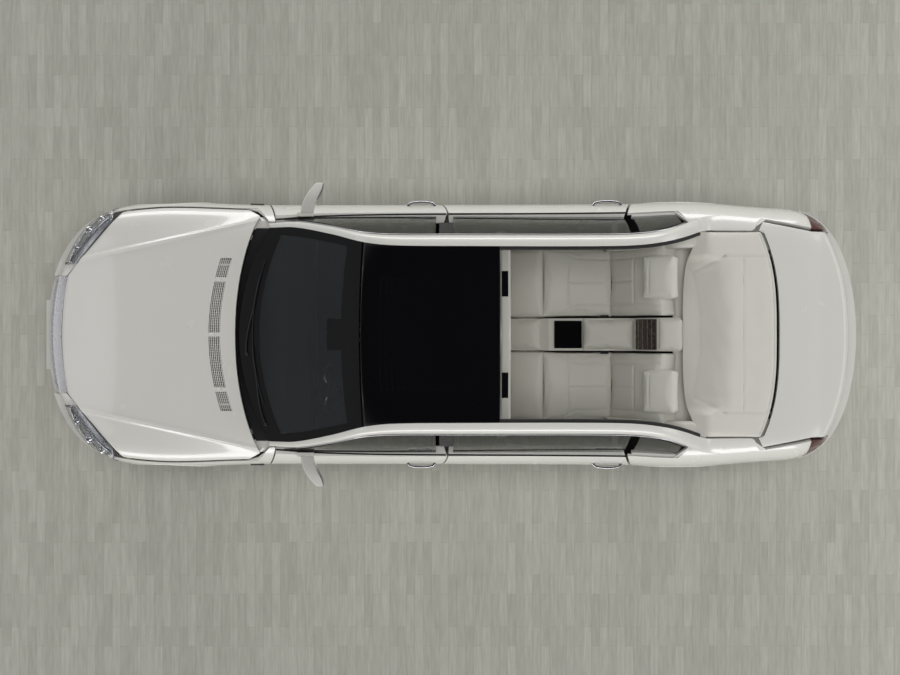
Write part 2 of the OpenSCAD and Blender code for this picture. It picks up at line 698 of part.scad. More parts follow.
// Curved vent across the bonnet ahead of the screen
vent_half = 552;
vent_bow = 91;
vent_wide = 84;
function vent_x(y, k) = cowl_x - 186 + vent_bow * (y / vent_half) ^ 2 + k * vent_wide;
module vent_hole() {
    n = 16;
    translate([0, 0, cowl_z - 300]) linear_extrude(500) polygon(concat(
        [for (i = [0:n]) let (y = lerp(-vent_half, vent_half, i / n)) [vent_x(y, -0.5), y]],
        [for (i = [0:n]) let (y = lerp(vent_half, -vent_half, i / n)) [vent_x(y, 0.5), y]]
    ));
}
module bonnet() {
    ear_y = [706, 726];
    color("white") {
        difference() {
            bonnet_shell(16, 28);
            vent_hole();
        }
        both_sides() {
            bonnet_ear(1);
            box([bonnet_hinge_x - 130, ear_y[0], bonnet_hinge_z - 14], [bonnet_hinge_x, ear_y[1], bonnet_hinge_z + 6]);
            box([bonnet_hinge_x - 150, ear_y[0], bonnet_hinge_z - 14],
                [bonnet_hinge_x - 110, ear_y[1], bonnet_z(bonnet_hinge_x - 130, ear_y[0]) - shell_t + 6]);
        }
    }
}

// Slats that follow the vent's curve, on ribs that reach its edges
module bonnet_vent() {
    slat_w = 5;
    sink = 5;
    rib_w = 12;
    end_y = vent_half - fixed_gap;
    pitch = 1 / vent_rows;
    color("black") {
        for (i = [0:vent_rows - 1]) {
            pt = function(u, v, d) let (
                y = lerp(-end_y, end_y, u),
                x = vent_x(y, (i + 0.5) * pitch - 0.5) + slat_w * (v - 0.5)
            ) [x, y, bonnet_z(x, y) - sink - d];
            patch(20, 1, function(u, v) pt(u, v, 0), function(u, v) pt(u, v, 12));
        }
        for (y = [-vent_half * 0.92, -vent_half * 0.72, 0, vent_half * 0.72, vent_half * 0.92]) {
            low = bonnet_z(vent_x(y, 0), y) - shell_t;
            front = vent_x(abs(y) + rib_w / 2, -0.5) + 2 * fixed_gap;
            back = vent_x(abs(y) - rib_w / 2, 0.5) - 2 * fixed_gap;
            box([front, y - rib_w / 2, low], [back, y + rib_w / 2, low + 14]);
        }
    }
}

// Boot lid: top, rounded rear edge and rear face in one shell
boot_hinge_x = rear_axle_x + 398;
boot_hinge_z = 1050;
boot_ear_y = 560;
neck_r = [172, 200];
neck_a = [-62, 8];
lid_half_rear = 742;
function lid_front_x(y) = lerp(boot_x + shut_gap, rear_axle_x + 470, min(1, abs(y) / 790) ^ 3);
function lid_edge_y(x) = quarter_top_y(x) - shut_gap;
module boot_lid() {
    low = bumper_top_rear + shut_gap;
    top_share = 0.68;
    at = function(u, v, t) let (
        c = 1 - 2 * v,
        near = lid_front_x(c * 790),
        far = lid_end_x - 165 * abs(c) ^ 2.4,
        k = min(1, u / top_share),
        x = lerp(near, far, k),
        e = x > quarter_end_x ? lid_half_rear : min(lid_edge_y(x), lid_half_rear + 0.18 * (quarter_end_x - x)),
        y = c * e,
        z = section_z(min(x, quarter_end_x + 60), y * 0.97) - max(0, x - quarter_end_x - 60) * 0.16,
        drop = max(0, (u - top_share) / (1 - top_share)),
        a = 90 * min(1, drop * 3)
    ) u <= top_share ? [x, y, z - t]
        : [x + 70 * sin(a) * 0.5 + 62 * drop - t * sin(a), y * (1 - 0.01 * drop),
            lerp(z - t * cos(a), low, drop ^ 1.15)];
    color("white") {
        patch(14, 20, function(u, v) at(u, v, 0), function(u, v) at(u, v, shell_t));
        both_sides() {
            barrel(boot_hinge_x, boot_ear_y, boot_hinge_z, hinge_r, leaf_w);
            translate([boot_hinge_x, boot_ear_y + leaf_w, boot_hinge_z]) rotate([90, 0, 0]) linear_extrude(leaf_w) {
                polygon(concat(arc(0, 0, neck_r[0], neck_a[0], neck_a[1], 8),
                    arc(0, 0, neck_r[1], neck_a[1], neck_a[0], 8)));
                rotate(neck_a[0]) translate([0, -hinge_r + 2]) square([neck_r[1] - 6, 2 * hinge_r - 4]);
            }
        }
    }
}

// Soft top folded behind the seats under its fitted cover
module top_cover() {
    half = 737;
    cover_t = 30;
    drop = 130;
    wing_share = [0.70, 0.08];
    at = function(u, v, t) let (
        c = 1 - 2 * v,
        near = rear_axle_x - 62 + 110 * abs(c) ^ 4,
        far = lerp(boot_x - 8, rear_axle_x + 446, abs(c) ^ 3),
        x = lerp(near, far, u),
        y = c * half,
        rim = section_z(max(x, rear_axle_x + 60), y * 0.985) + 6,
        brow = lerp(rear_axle_x + 300, rear_axle_x + 130, ease((abs(c) - wing_share[0]) / wing_share[1])),
        z = lerp(lerp(rim - drop, rim + 16, ease((x - near) / (brow - near))), rim, u)
    ) [x, y, z - t];
    color("ivory") patch(14, 22, function(u, v) at(u, v, 0), function(u, v) at(u, v, cover_t));
}

// Inside

module dashboard() {
    face = door_a + 330;
    column = [door_a + 300, -409, 800];
    color("dimgray") {
        across(1420) polygon([
            [door_a + 30 + fixed_gap, 640], [face - 60, 560], [face, 640], [face + 18, 800], [face - 40, 880],
            [door_a + 150, 950], [door_a + 30 + fixed_gap, 960]
        ]);
        translate(column) rotate([0, 68, 0]) cylinder(r = 34, h = 150);
    }
}

wheel_tilt = 68;
wheel_axis = [sin(wheel_tilt), 0, cos(wheel_tilt)];
module steering_wheel() {
    hub = [door_a + 300, -409, 800] + wheel_axis * (150 + leaf_gap);
    rim_r = 15;
    color("saddlebrown") translate(hub) rotate([0, wheel_tilt, 0]) {
        rotate_extrude() translate([steering_wheel_d / 2 - rim_r, 40]) circle(r = rim_r, $fn = 24);
        cylinder(r = 62, h = 46);
        for (a = [0, 130, 230]) rotate([0, 0, a]) translate([40, -14, 26]) cube([steering_wheel_d / 2 - 60, 28, 16]);
    }
}

module seat_profile(x, z, length, back_h) {
    polygon([
        [x, z], [x + length + 40, z - 20], [x + length + 250, z + back_h - 30], [x + length + 215, z + back_h],
        [x + length + 150, z + back_h - 20], [x + length - 60, z + 210], [x + 20, z + 235], [x - 20, z + 190]
    ]);
}

module front_seats() {
    base_x = part_x - 782;
    color("ivory") for (s = [-1, 1]) translate([0, s * 420, 0]) {
        across(540) seat_profile(base_x, 330, 480, 560);
        across(300) translate([base_x + 660, 885]) square([95, 190]);
        box([base_x + 60, -200, floor_top + fixed_gap], [base_x + 420, 200, 331]);
    }
}

rear_seat_y = console_w / 2 + 10 + rear_seat_w / 2;
module rear_seats() {
    front_x = part_x + 340;
    back_x = rear_axle_x - 500;
    end_x = rear_axle_x - 74;
    color("ivory") for (s = [-1, 1]) translate([0, s * rear_seat_y, 0]) across(rear_seat_w) polygon([
        [part_x + 90, floor_top + fixed_gap], [kick_x - fixed_gap, floor_top + fixed_gap],
        [kick_x - fixed_gap, rear_floor_z + fixed_gap], [end_x, rear_floor_z + fixed_gap], [end_x - 6, 1000],
        [end_x - 60, 1050], [end_x - 200, 1010], [back_x, rear_floor_z + 40], [front_x + 30, rear_floor_z + 50],
        [front_x, rear_floor_z + 20], [part_x + 84, rear_floor_z - 110]
    ]);
    color("ivory") for (s = [-1, 1]) translate([0, s * (rear_seat_y + 30), 0]) across(290) polygon([
        [end_x - 240, 960], [end_x - 90, 1052], [end_x - 50, 1110], [end_x - 90, 1122], [end_x - 240, 1030]
    ]);
}

module rear_console() {
    front_x = part_x + 343;
    back_x = rear_axle_x - 70;
    tray_x = lerp(front_x, back_x, 0.32);
    color("sienna") across(console_w) polygon([
        [part_x + 90, floor_top + fixed_gap], [kick_x - fixed_gap, floor_top + fixed_gap],
        [kick_x - fixed_gap, rear_floor_z + fixed_gap], [back_x, rear_floor_z + fixed_gap],
        [back_x, 1000], [back_x - 150, 985], [back_x - 280, 810],
        [back_x - 300, 730], [tray_x + 10, 690], [tray_x, 650], [front_x + 60, 640],
        [front_x, rear_floor_z + 20], [part_x + 84, rear_floor_z - 110]
    ]);
}

module wipers() {
    color("black") for (y = [-560, 40]) {
        x0 = cowl_x + 43 + 213 * (abs(y + 300) / 771) ^ 2;
        translate([x0, y, tray_z + fixed_gap]) cylinder(r = 12, h = 62);
        translate([x0 + 14, y + 12, tray_z + 55]) rotate([0, -8, 6]) cube([16, 520, 12]);
        translate([x0 - 8, y - 10, tray_z + 49]) cube([34, 40, 13]);
    }
}

// Running gear

module engine() {
    color("gray") box([front_axle_x - 330, -300, subframe_z + beam_h + fixed_gap],
        [front_axle_x + 560, 300, bonnet_line - 200]);
}

module exhaust() {
    color("silver") both_sides() {
        translate([door_a + 200, 250, 170]) rotate([0, 90, 0]) cylinder(r = 30, h = tail_x - door_a - 330);
        translate([tail_x - 360, 250, 170]) rotate([0, 90, 0]) cylinder(r = 42, h = 250);
        translate([rear_axle_x + 330, 250, 170]) rotate([0, 90, 0]) cylinder(r = 62, h = 480);
        translate([door_a + 900, 250, 170]) rotate([0, 90, 0]) cylinder(r = 51.5 - fixed_gap, h = 620);
    }
}

king_y = track_front / 2 - 68;
king_z = [axle_z - 146, axle_z + 140];
arm_t = 24;
subframe_z = king_z[0] - arm_t - 8.5;
beam_h = 62;
module front_subframe() {
    rail_y = [400, 462];
    color("dimgray") {
        box([front_axle_x - 110, -rail_y[1], subframe_z], [front_axle_x + 110, rail_y[1], subframe_z + beam_h]);
        both_sides() {
            box([bumper_nose_x + bumper_t + 142, rail_y[0], subframe_z + beam_h],
                [door_a - 60 - fixed_gap, rail_y[1], subframe_z + 150]);
            box([front_axle_x - 60, rail_y[0], subframe_z + beam_h], [front_axle_x + 60, rail_y[1], king_z[1] + 121.5]);
            for (z = [king_z[0] - arm_t, king_z[1]]) {
                box([front_axle_x - 22, rail_y[1] - 2, z], [front_axle_x + 22, king_y, z + arm_t]);
                translate([front_axle_x, king_y, z]) cylinder(r = 24, h = arm_t);
            }
        }
    }
}

// Steered upright between the two arms, with its stub axle
module knuckle(side) {
    color("gray") on_side(side) {
        translate([front_axle_x, king_y, king_z[0] + leaf_gap])
            cylinder(r = 22, h = king_z[1] - king_z[0] - 2 * leaf_gap);
        barrel(front_axle_x, king_y, axle_z, 44, 40);
    }
}

module rear_axle() {
    hub_y = track_rear / 2 - 68 + 40;
    arm_x = kick_x + 54;
    color("gray") {
        translate([rear_axle_x, 0, axle_z]) rotate([0, 90, 0]) cylinder(r = 118, h = 260, center = true);
        barrel(rear_axle_x, -hub_y, axle_z, 27, 2 * hub_y);
        both_sides() {
            barrel(rear_axle_x, hub_y - 60, axle_z, 62, 60);
            box([arm_x, 560, axle_z - 130], [rear_axle_x + 20, 610, axle_z - 80]);
            box([rear_axle_x - 30, 560, axle_z - 130], [rear_axle_x + 30, hub_y - 30, axle_z - 40]);
            box([arm_x, 560, axle_z - 90], [arm_x + 60, 610, rear_floor_z - 30 - fixed_gap]);
        }
    }
}

module wheel_houses() {
    wall = 10;
    room = 6;
    front_end = side_y(front_axle_x, axle_z + arch_r + room) - wing_t + 2;
    rear_end = half_w - 65;
    color("black") both_sides()
        for (w = [[front_axle_x, house_front_y, front_end, 300], [rear_axle_x, house_rear_y, rear_end, 600]])
            difference() {
                barrel(w[0], w[1], axle_z, arch_r + room + wall, w[2] - w[1]);
                barrel(w[0], w[1] - 1, axle_z, arch_r + room, w[2] - w[1] + 2);
                box([w[0] - 600, w[1] - 1, axle_z - 600], [w[0] + 600, half_w, axle_z + 60]);
                box([w[0] - 600, w[1] - 1, 0], [w[0] - w[3], half_w, 1000]);
            }
}

// Wheels

function arc(cx, cy, r, a1, a2, n) = [for (i = [0:n]) let (a = lerp(a1, a2, i / n)) [cx + r * cos(a), cy + r * sin(a)]];

module tyre(x, track, side) {
    r = tyre_d / 2;
    w = tyre_w / 2;
    bead = rim_d / 2;
    color("black") on_side(side) translate([x, track / 2, axle_z]) rotate([-90, 0, 0]) rotate_extrude($fn = 96)
        polygon(concat(
            arc(r - 34, w - 34, 34, 0, 60, 4),
            arc(bead + 52, w - 62, 62, 60, 90, 2),
            [[bead, w - 16], [bead, -w + 16]],
            arc(bead + 52, -w + 62, 62, -90, -60, 2),
            arc(r - 34, -w + 34, 34, -60, 0, 4)
        ));
}

module rim(x, track, side) {
    w = tyre_w / 2 - 18;
    r = rim_d / 2 - leaf_gap;
    barrel_t = 20;
    face_y = w - 36;
    hub_gap = 0.5;
    disc_r = disc_d / 2;
    color("silver") on_side(side) translate([x, track / 2, axle_z]) rotate([-90, 0, 0]) {
        difference() {
            union() {
                rotate_extrude($fn = 96) polygon([
                    [r - barrel_t, -w], [r, -w], [r, w], [r - barrel_t, w]
                ]);
                translate([0, 0, face_y]) cylinder(r = r - barrel_t + 1, h = 30);
            }
            for (i = [0:spoke_count - 1]) rotate([0, 0, i * 360 / spoke_count])
                translate([0, 0, face_y - 1]) linear_extrude(40) polygon([
                    [92, -10], [r - barrel_t - 12, -34], [r - barrel_t - 12, 34], [92, 10]
                ]);
        }
        translate([0, 0, -68 + 40 + hub_gap]) cylinder(r = 66, h = face_y + 28 + 10);
        translate([0, 0, -4]) cylinder(r = disc_r, h = 30);
    }
}

floor_pan();
body_sides();
front_wings();
rear_quarters();
cowl();
front_bumper();
rear_bumper();
grille();
headlamps();
tail_lamps();
windscreen();
roof_panel();
partition();
partition_glass();
dashboard();
front_seats();
rear_seats();
rear_console();
top_cover();
quarter_glass();
wipers();
engine();
exhaust();
front_subframe();
rear_axle();
wheel_houses();
knuckle(-1);  // knuckle_left
knuckle(1);  // knuckle_right
tyre(front_axle_x, track_front, -1);  // tyre_front_left
tyre(front_axle_x, track_front, 1);  // tyre_front_right
tyre(rear_axle_x, track_rear, -1);  // tyre_rear_left
tyre(rear_axle_x, track_rear, 1);  // tyre_rear_right
rim(front_axle_x, track_front, -1);  // rim_front_left
rim(front_axle_x, track_front, 1);  // rim_front_right
rim(rear_axle_x, track_rear, -1);  // rim_rear_left
rim(rear_axle_x, track_rear, 1);  // rim_rear_right
bonnet();
bonnet_vent();
boot_lid();
door_front(-1);  // door_front_left
door_front(1);  // door_front_right
door_rear(-1);  // door_rear_left
door_rear(1);  // door_rear_right
glass_front(-1);  // glass_front_left
glass_front(1);  // glass_front_right
glass_rear(-1);  // glass_rear_left
glass_rear(1);  // glass_rear_right
mirror_housing(-1);  // mirror_left
mirror_housing(1);  // mirror_right
steering_wheel();
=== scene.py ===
# %% [markdown]
# # A landaulet, dressed
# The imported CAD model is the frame: every solid is already at its place, in metres, front towards -X.
# This lesson lays smooth painted skins, glass, leather and trim on it, so that it looks like the car from above.

# %% Frame
import math
import bpy
import numpy as np
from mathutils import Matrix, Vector


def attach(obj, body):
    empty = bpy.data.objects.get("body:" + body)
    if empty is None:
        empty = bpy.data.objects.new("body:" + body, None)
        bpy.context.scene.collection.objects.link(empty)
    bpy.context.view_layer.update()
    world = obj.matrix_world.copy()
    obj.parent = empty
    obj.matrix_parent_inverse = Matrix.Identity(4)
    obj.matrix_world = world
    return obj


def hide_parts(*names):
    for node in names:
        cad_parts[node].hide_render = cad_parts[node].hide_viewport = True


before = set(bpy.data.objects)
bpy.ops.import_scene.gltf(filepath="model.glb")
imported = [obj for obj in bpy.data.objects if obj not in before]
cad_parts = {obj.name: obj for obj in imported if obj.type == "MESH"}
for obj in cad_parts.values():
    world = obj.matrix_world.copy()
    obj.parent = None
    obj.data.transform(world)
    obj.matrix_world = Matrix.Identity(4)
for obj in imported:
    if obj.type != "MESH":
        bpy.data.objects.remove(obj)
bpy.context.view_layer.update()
bpy.context.scene.view_settings.view_transform = "Standard"

# %% [markdown]
# ## Small helpers
# A car body is a set of curved sheets. Each can start as a grid primitive whose rows and columns are then laid on the
# surface, and end with Solidify and Bevel, which give it sheet-metal thickness and a rolled edge that catches light.

# %% Helpers
MM = 0.001
pieces_made = []


def clear_selection():
    if bpy.context.object and bpy.context.object.mode != "OBJECT":
        bpy.ops.object.mode_set(mode="OBJECT")
    bpy.ops.object.select_all(action="DESELECT")


def pick(piece):
    clear_selection()
    piece.select_set(True)
    bpy.context.view_layer.objects.active = piece


def apply_modifier(piece, kind, **settings):
    pick(piece)
    modifier = piece.modifiers.new(kind.title(), kind)
    for key, value in settings.items():
        setattr(modifier, key, value)
    bpy.ops.object.modifier_apply(modifier=modifier.name)


def edit_all(*steps):
    """Runs edit-mode operators on the whole of the active mesh."""
    bpy.ops.object.mode_set(mode="EDIT")
    bpy.ops.mesh.select_all(action="SELECT")
    for step in steps:
        step()
    bpy.ops.object.mode_set(mode="OBJECT")


def grid_on(name, nu, nv, surface, turned=False):
    """Grid primitive laid on a surface that is given in mm over u and v from 0 to 1."""
    clear_selection()
    bpy.ops.mesh.primitive_grid_add(x_subdivisions=nu, y_subdivisions=nv, size=2)
    piece = bpy.context.object
    piece.name = name
    for vertex in piece.data.vertices:
        u, v = (vertex.co.x + 1) / 2, (vertex.co.y + 1) / 2
        vertex.co = Vector(surface(u, v)) * MM
    if turned:
        edit_all(bpy.ops.mesh.flip_normals)
    return piece


def thicken(piece, thick, offset=-1.0):
    apply_modifier(piece, "SOLIDIFY", thickness=thick * MM, offset=offset, use_even_offset=False)


def roll_edges(piece, width, segments=2, angle=50):
    apply_modifier(piece, "BEVEL", width=width * MM, segments=segments, limit_method="ANGLE",
                   angle_limit=math.radians(angle), use_clamp_overlap=True)


def smooth(piece, angle=38):
    pick(piece)
    bpy.ops.object.shade_smooth_by_angle(angle=math.radians(angle))


def mirrored(piece, name):
    """Copy with its own mesh for the other side of the car."""
    pick(piece)
    bpy.ops.object.duplicate()
    copy = bpy.context.object
    copy.name = name
    copy.scale.y = -1
    bpy.ops.object.transform_apply(location=False, rotation=False, scale=True)
    edit_all(bpy.ops.mesh.flip_normals)
    return copy


def joined(name, *parts):
    clear_selection()
    for part in parts:
        part.select_set(True)
    bpy.context.view_layer.objects.active = parts[0]
    if len(parts) > 1:
        bpy.ops.object.join()
    parts[0].name = name
    return parts[0]


def both_sides(name, piece):
    return joined(name, piece, mirrored(piece, name + "_other"))


def paint(piece, *materials):
    piece.data.materials.clear()
    for material in materials:
        piece.data.materials.append(material)


def mount(piece, body, slot, *nodes):
    """The piece rides on a body and may stand for CAD nodes, which it hides; the slot is not used."""
    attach(piece, body)
    if nodes:
        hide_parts(*nodes)
    pieces_made.append(piece)
    return piece


def dress(piece, look, body, slot, *nodes):
    """One finish all over, and a body to ride on."""
    paint(piece, look)
    return mount(piece, body, slot, *nodes)


def rod(name, points, radius, resolution=3):
    """Round rod along points in mm, as a bevelled curve made into a mesh."""
    curve = bpy.data.curves.new(name, "CURVE")
    curve.dimensions = "3D"
    curve.bevel_depth = radius * MM
    curve.bevel_resolution = resolution
    curve.use_fill_caps = True
    spline = curve.splines.new("POLY")
    spline.points.add(len(points) - 1)
    for knot, point in zip(spline.points, points):
        knot.co = (*(Vector(point) * MM), 1)
    piece = bpy.data.objects.new(name, curve)
    bpy.context.scene.collection.objects.link(piece)
    pick(piece)
    bpy.ops.object.convert(target="MESH")
    smooth(bpy.context.object, 60)
    return bpy.context.object


def block(name, low, high, edge=4, segments=3):
    """Cube primitive sized to two corners in mm, with rolled edges."""
    clear_selection()
    bpy.ops.mesh.primitive_cube_add(size=1)
    piece = bpy.context.object
    piece.name = name
    piece.scale = [(b - a) * MM for a, b in zip(low, high)]
    piece.location = [(a + b) / 2 * MM for a, b in zip(low, high)]
    bpy.ops.object.transform_apply(location=True, rotation=True, scale=True)
    roll_edges(piece, edge, segments, 30)
    smooth(piece)
    return piece


def cad_copy(node, name):
    """Merged copy of a CAD node's mesh."""
    clear_selection()
    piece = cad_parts[node].copy()
    piece.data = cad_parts[node].data.copy()
    piece.name = name
    bpy.context.scene.collection.objects.link(piece)
    piece.parent = None
    pick(piece)
    bpy.ops.object.transform_apply(location=True, rotation=True, scale=True)
    edit_all(lambda: bpy.ops.mesh.remove_doubles(threshold=0.00002))
    return piece


# %% [markdown]
# ## The body's lines
# The sections of the body and the roof rails are the CAD's own short tables, in mm. A smooth curve is drawn through the
# rows, so the skins can be laid as finely as needed on the very surface that the solids follow.

# %% Body lines
half_w, nose_x, tail_x = 990.0, -3082.5, 3082.5
front_axle_x, rear_axle_x, axle_z = -2075.0, 1752.0, 378.5
waist_z, sill_z, sill_tuck, shoulder_power = 650.0, 200.0, 45.0, 9.0
cowl_x, door_a, door_b, door_c = -1508.0, -1338.0, -56.0, 1368.0
boot_x, lid_end_x, wing_front_x, quarter_end_x = 2363.0, 2866.0, -2465.0, 2625.0
upper_nose_x, upper_tail_x = -2950.5, 3000.5
bumper_nose_x, bumper_tail_x = -3060.5, 3082.5
bumper_top_front, bumper_top_rear = 655.0, 700.0
shut_gap, fixed_gap, arch_r = 9.0, 0.3, 434.0
skin_t, skin_edge = 4, 1.4
# Columns: position, inset from the half width, height of the crown
BODY = [(nose_x, 50, 810), (front_axle_x - 490, 36, 940), (front_axle_x, 0, 1000), (cowl_x, 16, 1042),
        (door_a + 60, 20, 1060), (door_a * 0.65 + door_b * 0.35, 20, 1088), (door_a * 0.27 + door_b * 0.73, 20, 1104),
        (door_c - 100, 14, 1112),
        (rear_axle_x, 0, 1122), (boot_x, 42, 1096), (boot_x + 310, 56, 1040), (tail_x, 80, 930)]
# Columns: position, inner edge y and z, outer edge y and z
RAIL = [(door_a + 45, 771, 1032, 803, 1004), (door_a + 250, 762, 1152, 806, 1108), (door_a + 534, 696, 1345, 752, 1300),
        (door_a + 747, 634, 1480, 700, 1432), ((door_a + 747) * 0.7 + (door_b + 134) * 0.3, 608, 1527, 682, 1470),
        (door_b + 134, 601, 1543, 680, 1482),
        (rear_axle_x - 752, 600, 1538, 680, 1478), (rear_axle_x - 452, 610, 1512, 690, 1452),
        (rear_axle_x - 252, 640, 1440, 722, 1380), (rear_axle_x - 102, 680, 1330, 775, 1270),
        (rear_axle_x + 40, 730, 1190, 832, 1130), (rear_axle_x + 110, 744, 1130, 850, 1076),
        (rear_axle_x + 210, 746, 1100, 862, 1043)]


def lerp(a, b, t):
    return a + (b - a) * t


def ease(t):
    t = max(0.0, min(1.0, t))
    return t * t * (3 - 2 * t)


def station(table, x, column):
    """Smooth value of a column at x."""
    last = len(table) - 1
    x = max(table[0][0], min(table[last][0], x))
    i = max(k for k in range(last) if table[k][0] <= x)

    def slope(k):
        a, b = max(0, k - 1), min(last, k + 1)
        return (table[b][column] - table[a][column]) / (table[b][0] - table[a][0])

    width = table[i + 1][0] - table[i][0]
    u = (x - table[i][0]) / width
    return ((2 * u ** 3 - 3 * u ** 2 + 1) * table[i][column] + (u ** 3 - 2 * u ** 2 + u) * slope(i) * width
            + (3 * u ** 2 - 2 * u ** 3) * table[i + 1][column] + (u ** 3 - u ** 2) * slope(i + 1) * width)


def end_round(d, reach):
    return 0.0 if d <= 0 else 1.0 if d >= reach else math.sqrt(1 - (1 - d / reach) ** 3)


def side_limit(x):
    return half_w - station(BODY, x, 1)


def crown(x):
    return station(BODY, x, 2)


def half_width(x):
    return side_limit(x) * end_round(x - upper_nose_x, 690) * end_round(upper_tail_x - x, 600)


def section_z(x, y):
    share = min(1, abs(y) / max(1e-6, half_width(x)))
    return waist_z + (crown(x) - waist_z) * math.sqrt(max(0, 1 - share ** shoulder_power))


def side_y(x, z):
    if z >= waist_z:
        share = min(1, (z - waist_z) / (crown(x) - waist_z))
        return half_width(x) * max(0.0001, 1 - share ** 2) ** (1 / shoulder_power)
    return half_width(x) - sill_tuck * ((waist_z - z) / (waist_z - sill_z)) ** 2


def belt_z(x):
    return 982 + 0.0115 * (x - door_a)


def lean(z, run):
    return run * max(0, (z - waist_z) / 335) ** 1.5


def edge_a(z):
    return door_a + lean(z, 84)


def edge_b(z):
    return door_b + lean(z, 52)


def edge_c(z):
    return min(door_c - lean(z, 72), rear_axle_x - math.sqrt(max(0, (arch_r + 36) ** 2 - (z - axle_z) ** 2)))


print("Half width at the front axle", round(half_width(front_axle_x)), "mm")

# %% [markdown]
# ## Finishes
# Real finishes are never one flat colour: paint has a faint orange peel and cloudiness, leather a pebbled grain, chrome
# thin streaks. One node group makes mottled colour and roughness from noise, another makes grain for a Bump node. Both
# read Object coordinates, so nothing slides when a door swings.

# %% Shared node groups
def new_group(name, inputs, outputs):
    group = bpy.data.node_groups.new(name, "ShaderNodeTree")
    for label, kind, value in inputs:
        socket = group.interface.new_socket(label, in_out="INPUT", socket_type=kind)
        socket.default_value = value
    for label, kind in outputs:
        group.interface.new_socket(label, in_out="OUTPUT", socket_type=kind)
    return group, group.nodes.new("NodeGroupInput"), group.nodes.new("NodeGroupOutput")


def mottle_group():
    group, given, made = new_group(
        "Mottle", [("Light", "NodeSocketColor", (1, 1, 1, 1)), ("Dark", "NodeSocketColor", (0.9, 0.9, 0.9, 1)),
                   ("Scale", "NodeSocketFloat", 6.0), ("Rough low", "NodeSocketFloat", 0.3),
                   ("Rough high", "NodeSocketFloat", 0.4)],
        [("Color", "NodeSocketColor"), ("Roughness", "NodeSocketFloat")])
    link = group.links.new
    place = group.nodes.new("ShaderNodeTexCoord")
    noise = group.nodes.new("ShaderNodeTexNoise")
    noise.inputs["Detail"].default_value = 4
    mix = group.nodes.new("ShaderNodeMix")
    mix.data_type = "RGBA"
    spread = group.nodes.new("ShaderNodeMapRange")
    spread.inputs["From Min"].default_value, spread.inputs["From Max"].default_value = 0.3, 0.7
    link(place.outputs["Object"], noise.inputs["Vector"])
    link(given.outputs["Scale"], noise.inputs["Scale"])
    link(noise.outputs["Fac"], mix.inputs["Factor"])
    link(given.outputs["Light"], mix.inputs["A"])
    link(given.outputs["Dark"], mix.inputs["B"])
    link(noise.outputs["Fac"], spread.inputs["Value"])
    link(given.outputs["Rough low"], spread.inputs["To Min"])
    link(given.outputs["Rough high"], spread.inputs["To Max"])
    link(mix.outputs["Result"], made.inputs["Color"])
    link(spread.outputs["Result"], made.inputs["Roughness"])
    return group


def grain_group():
    group, given, made = new_group("Grain", [("Scale", "NodeSocketFloat", 300.0), ("Cells", "NodeSocketFloat", 0.5)],
                                   [("Height", "NodeSocketFloat")])
    link = group.links.new
    place = group.nodes.new("ShaderNodeTexCoord")
    cells = group.nodes.new("ShaderNodeTexVoronoi")
    cells.feature = "DISTANCE_TO_EDGE"
    noise = group.nodes.new("ShaderNodeTexNoise")
    noise.inputs["Detail"].default_value = 3
    mix = group.nodes.new("ShaderNodeMix")
    for texture in (cells, noise):
        link(place.outputs["Object"], texture.inputs["Vector"])
        link(given.outputs["Scale"], texture.inputs["Scale"])
    link(given.outputs["Cells"], mix.inputs["Factor"])
    link(noise.outputs["Fac"], mix.inputs["A"])
    link(cells.outputs["Distance"], mix.inputs["B"])
    link(mix.outputs["Result"], made.inputs["Height"])
    return group


MOTTLE, GRAIN = mottle_group(), grain_group()


def finish(name, light, dark, rough, scale=6.0, grain=None, bump=0.05, cells=0.0, **sockets):
    """Principled material whose colour, roughness and grain come from the shared groups."""
    material = bpy.data.materials.new(name)
    material.use_nodes = True
    nodes, link = material.node_tree.nodes, material.node_tree.links.new
    shader = nodes["Principled BSDF"]
    mottle = nodes.new("ShaderNodeGroup")
    mottle.node_tree = MOTTLE
    mottle.inputs["Light"].default_value = (*light, 1)
    mottle.inputs["Dark"].default_value = (*dark, 1)
    mottle.inputs["Scale"].default_value = scale
    mottle.inputs["Rough low"].default_value, mottle.inputs["Rough high"].default_value = rough
    link(mottle.outputs["Color"], shader.inputs["Base Color"])
    link(mottle.outputs["Roughness"], shader.inputs["Roughness"])
    if grain:
        texture = nodes.new("ShaderNodeGroup")
        texture.node_tree = GRAIN
        texture.inputs["Scale"].default_value = grain
        texture.inputs["Cells"].default_value = cells
        relief = nodes.new("ShaderNodeBump")
        relief.inputs["Strength"].default_value = bump
        relief.inputs["Distance"].default_value = 0.001
        link(texture.outputs["Height"], relief.inputs["Height"])
        link(relief.outputs["Normal"], shader.inputs["Normal"])
    for key, value in sockets.items():
        shader.inputs[key.replace("_", " ")].default_value = value
    return material


# %% Materials of the car
white_paint = finish("pearl_white_paint", (0.70, 0.69, 0.645), (0.67, 0.66, 0.615), (0.22, 0.28), 3,
                     grain=420, bump=0.012, Coat_Weight=0.8, Coat_Roughness=0.05)
black_paint = finish("gloss_black_paint", (0.0032, 0.0032, 0.0038), (0.0022, 0.0022, 0.0028), (0.12, 0.2), 4,
                     grain=400, bump=0.01, Coat_Weight=0.5, Coat_Roughness=0.04)
chrome = finish("polished_chrome", (0.62, 0.62, 0.63), (0.52, 0.52, 0.54), (0.06, 0.13), 9,
                grain=300, bump=0.01, Metallic=1.0)
# Pale, mostly diffuse chrome for the grille's upward faces: a painted reflection, brighter than polished chrome facing
# up would show.
sheen_painted_chrome = finish("sheen_painted_chrome", (0.74, 0.74, 0.77), (0.66, 0.66, 0.69), (0.22, 0.34), 14,
                      grain=500, bump=0.03, Metallic=0.3)
alloy = finish("polished_alloy", (0.58, 0.59, 0.6), (0.5, 0.51, 0.52), (0.18, 0.28), 14,
               grain=600, bump=0.04, Metallic=1.0)
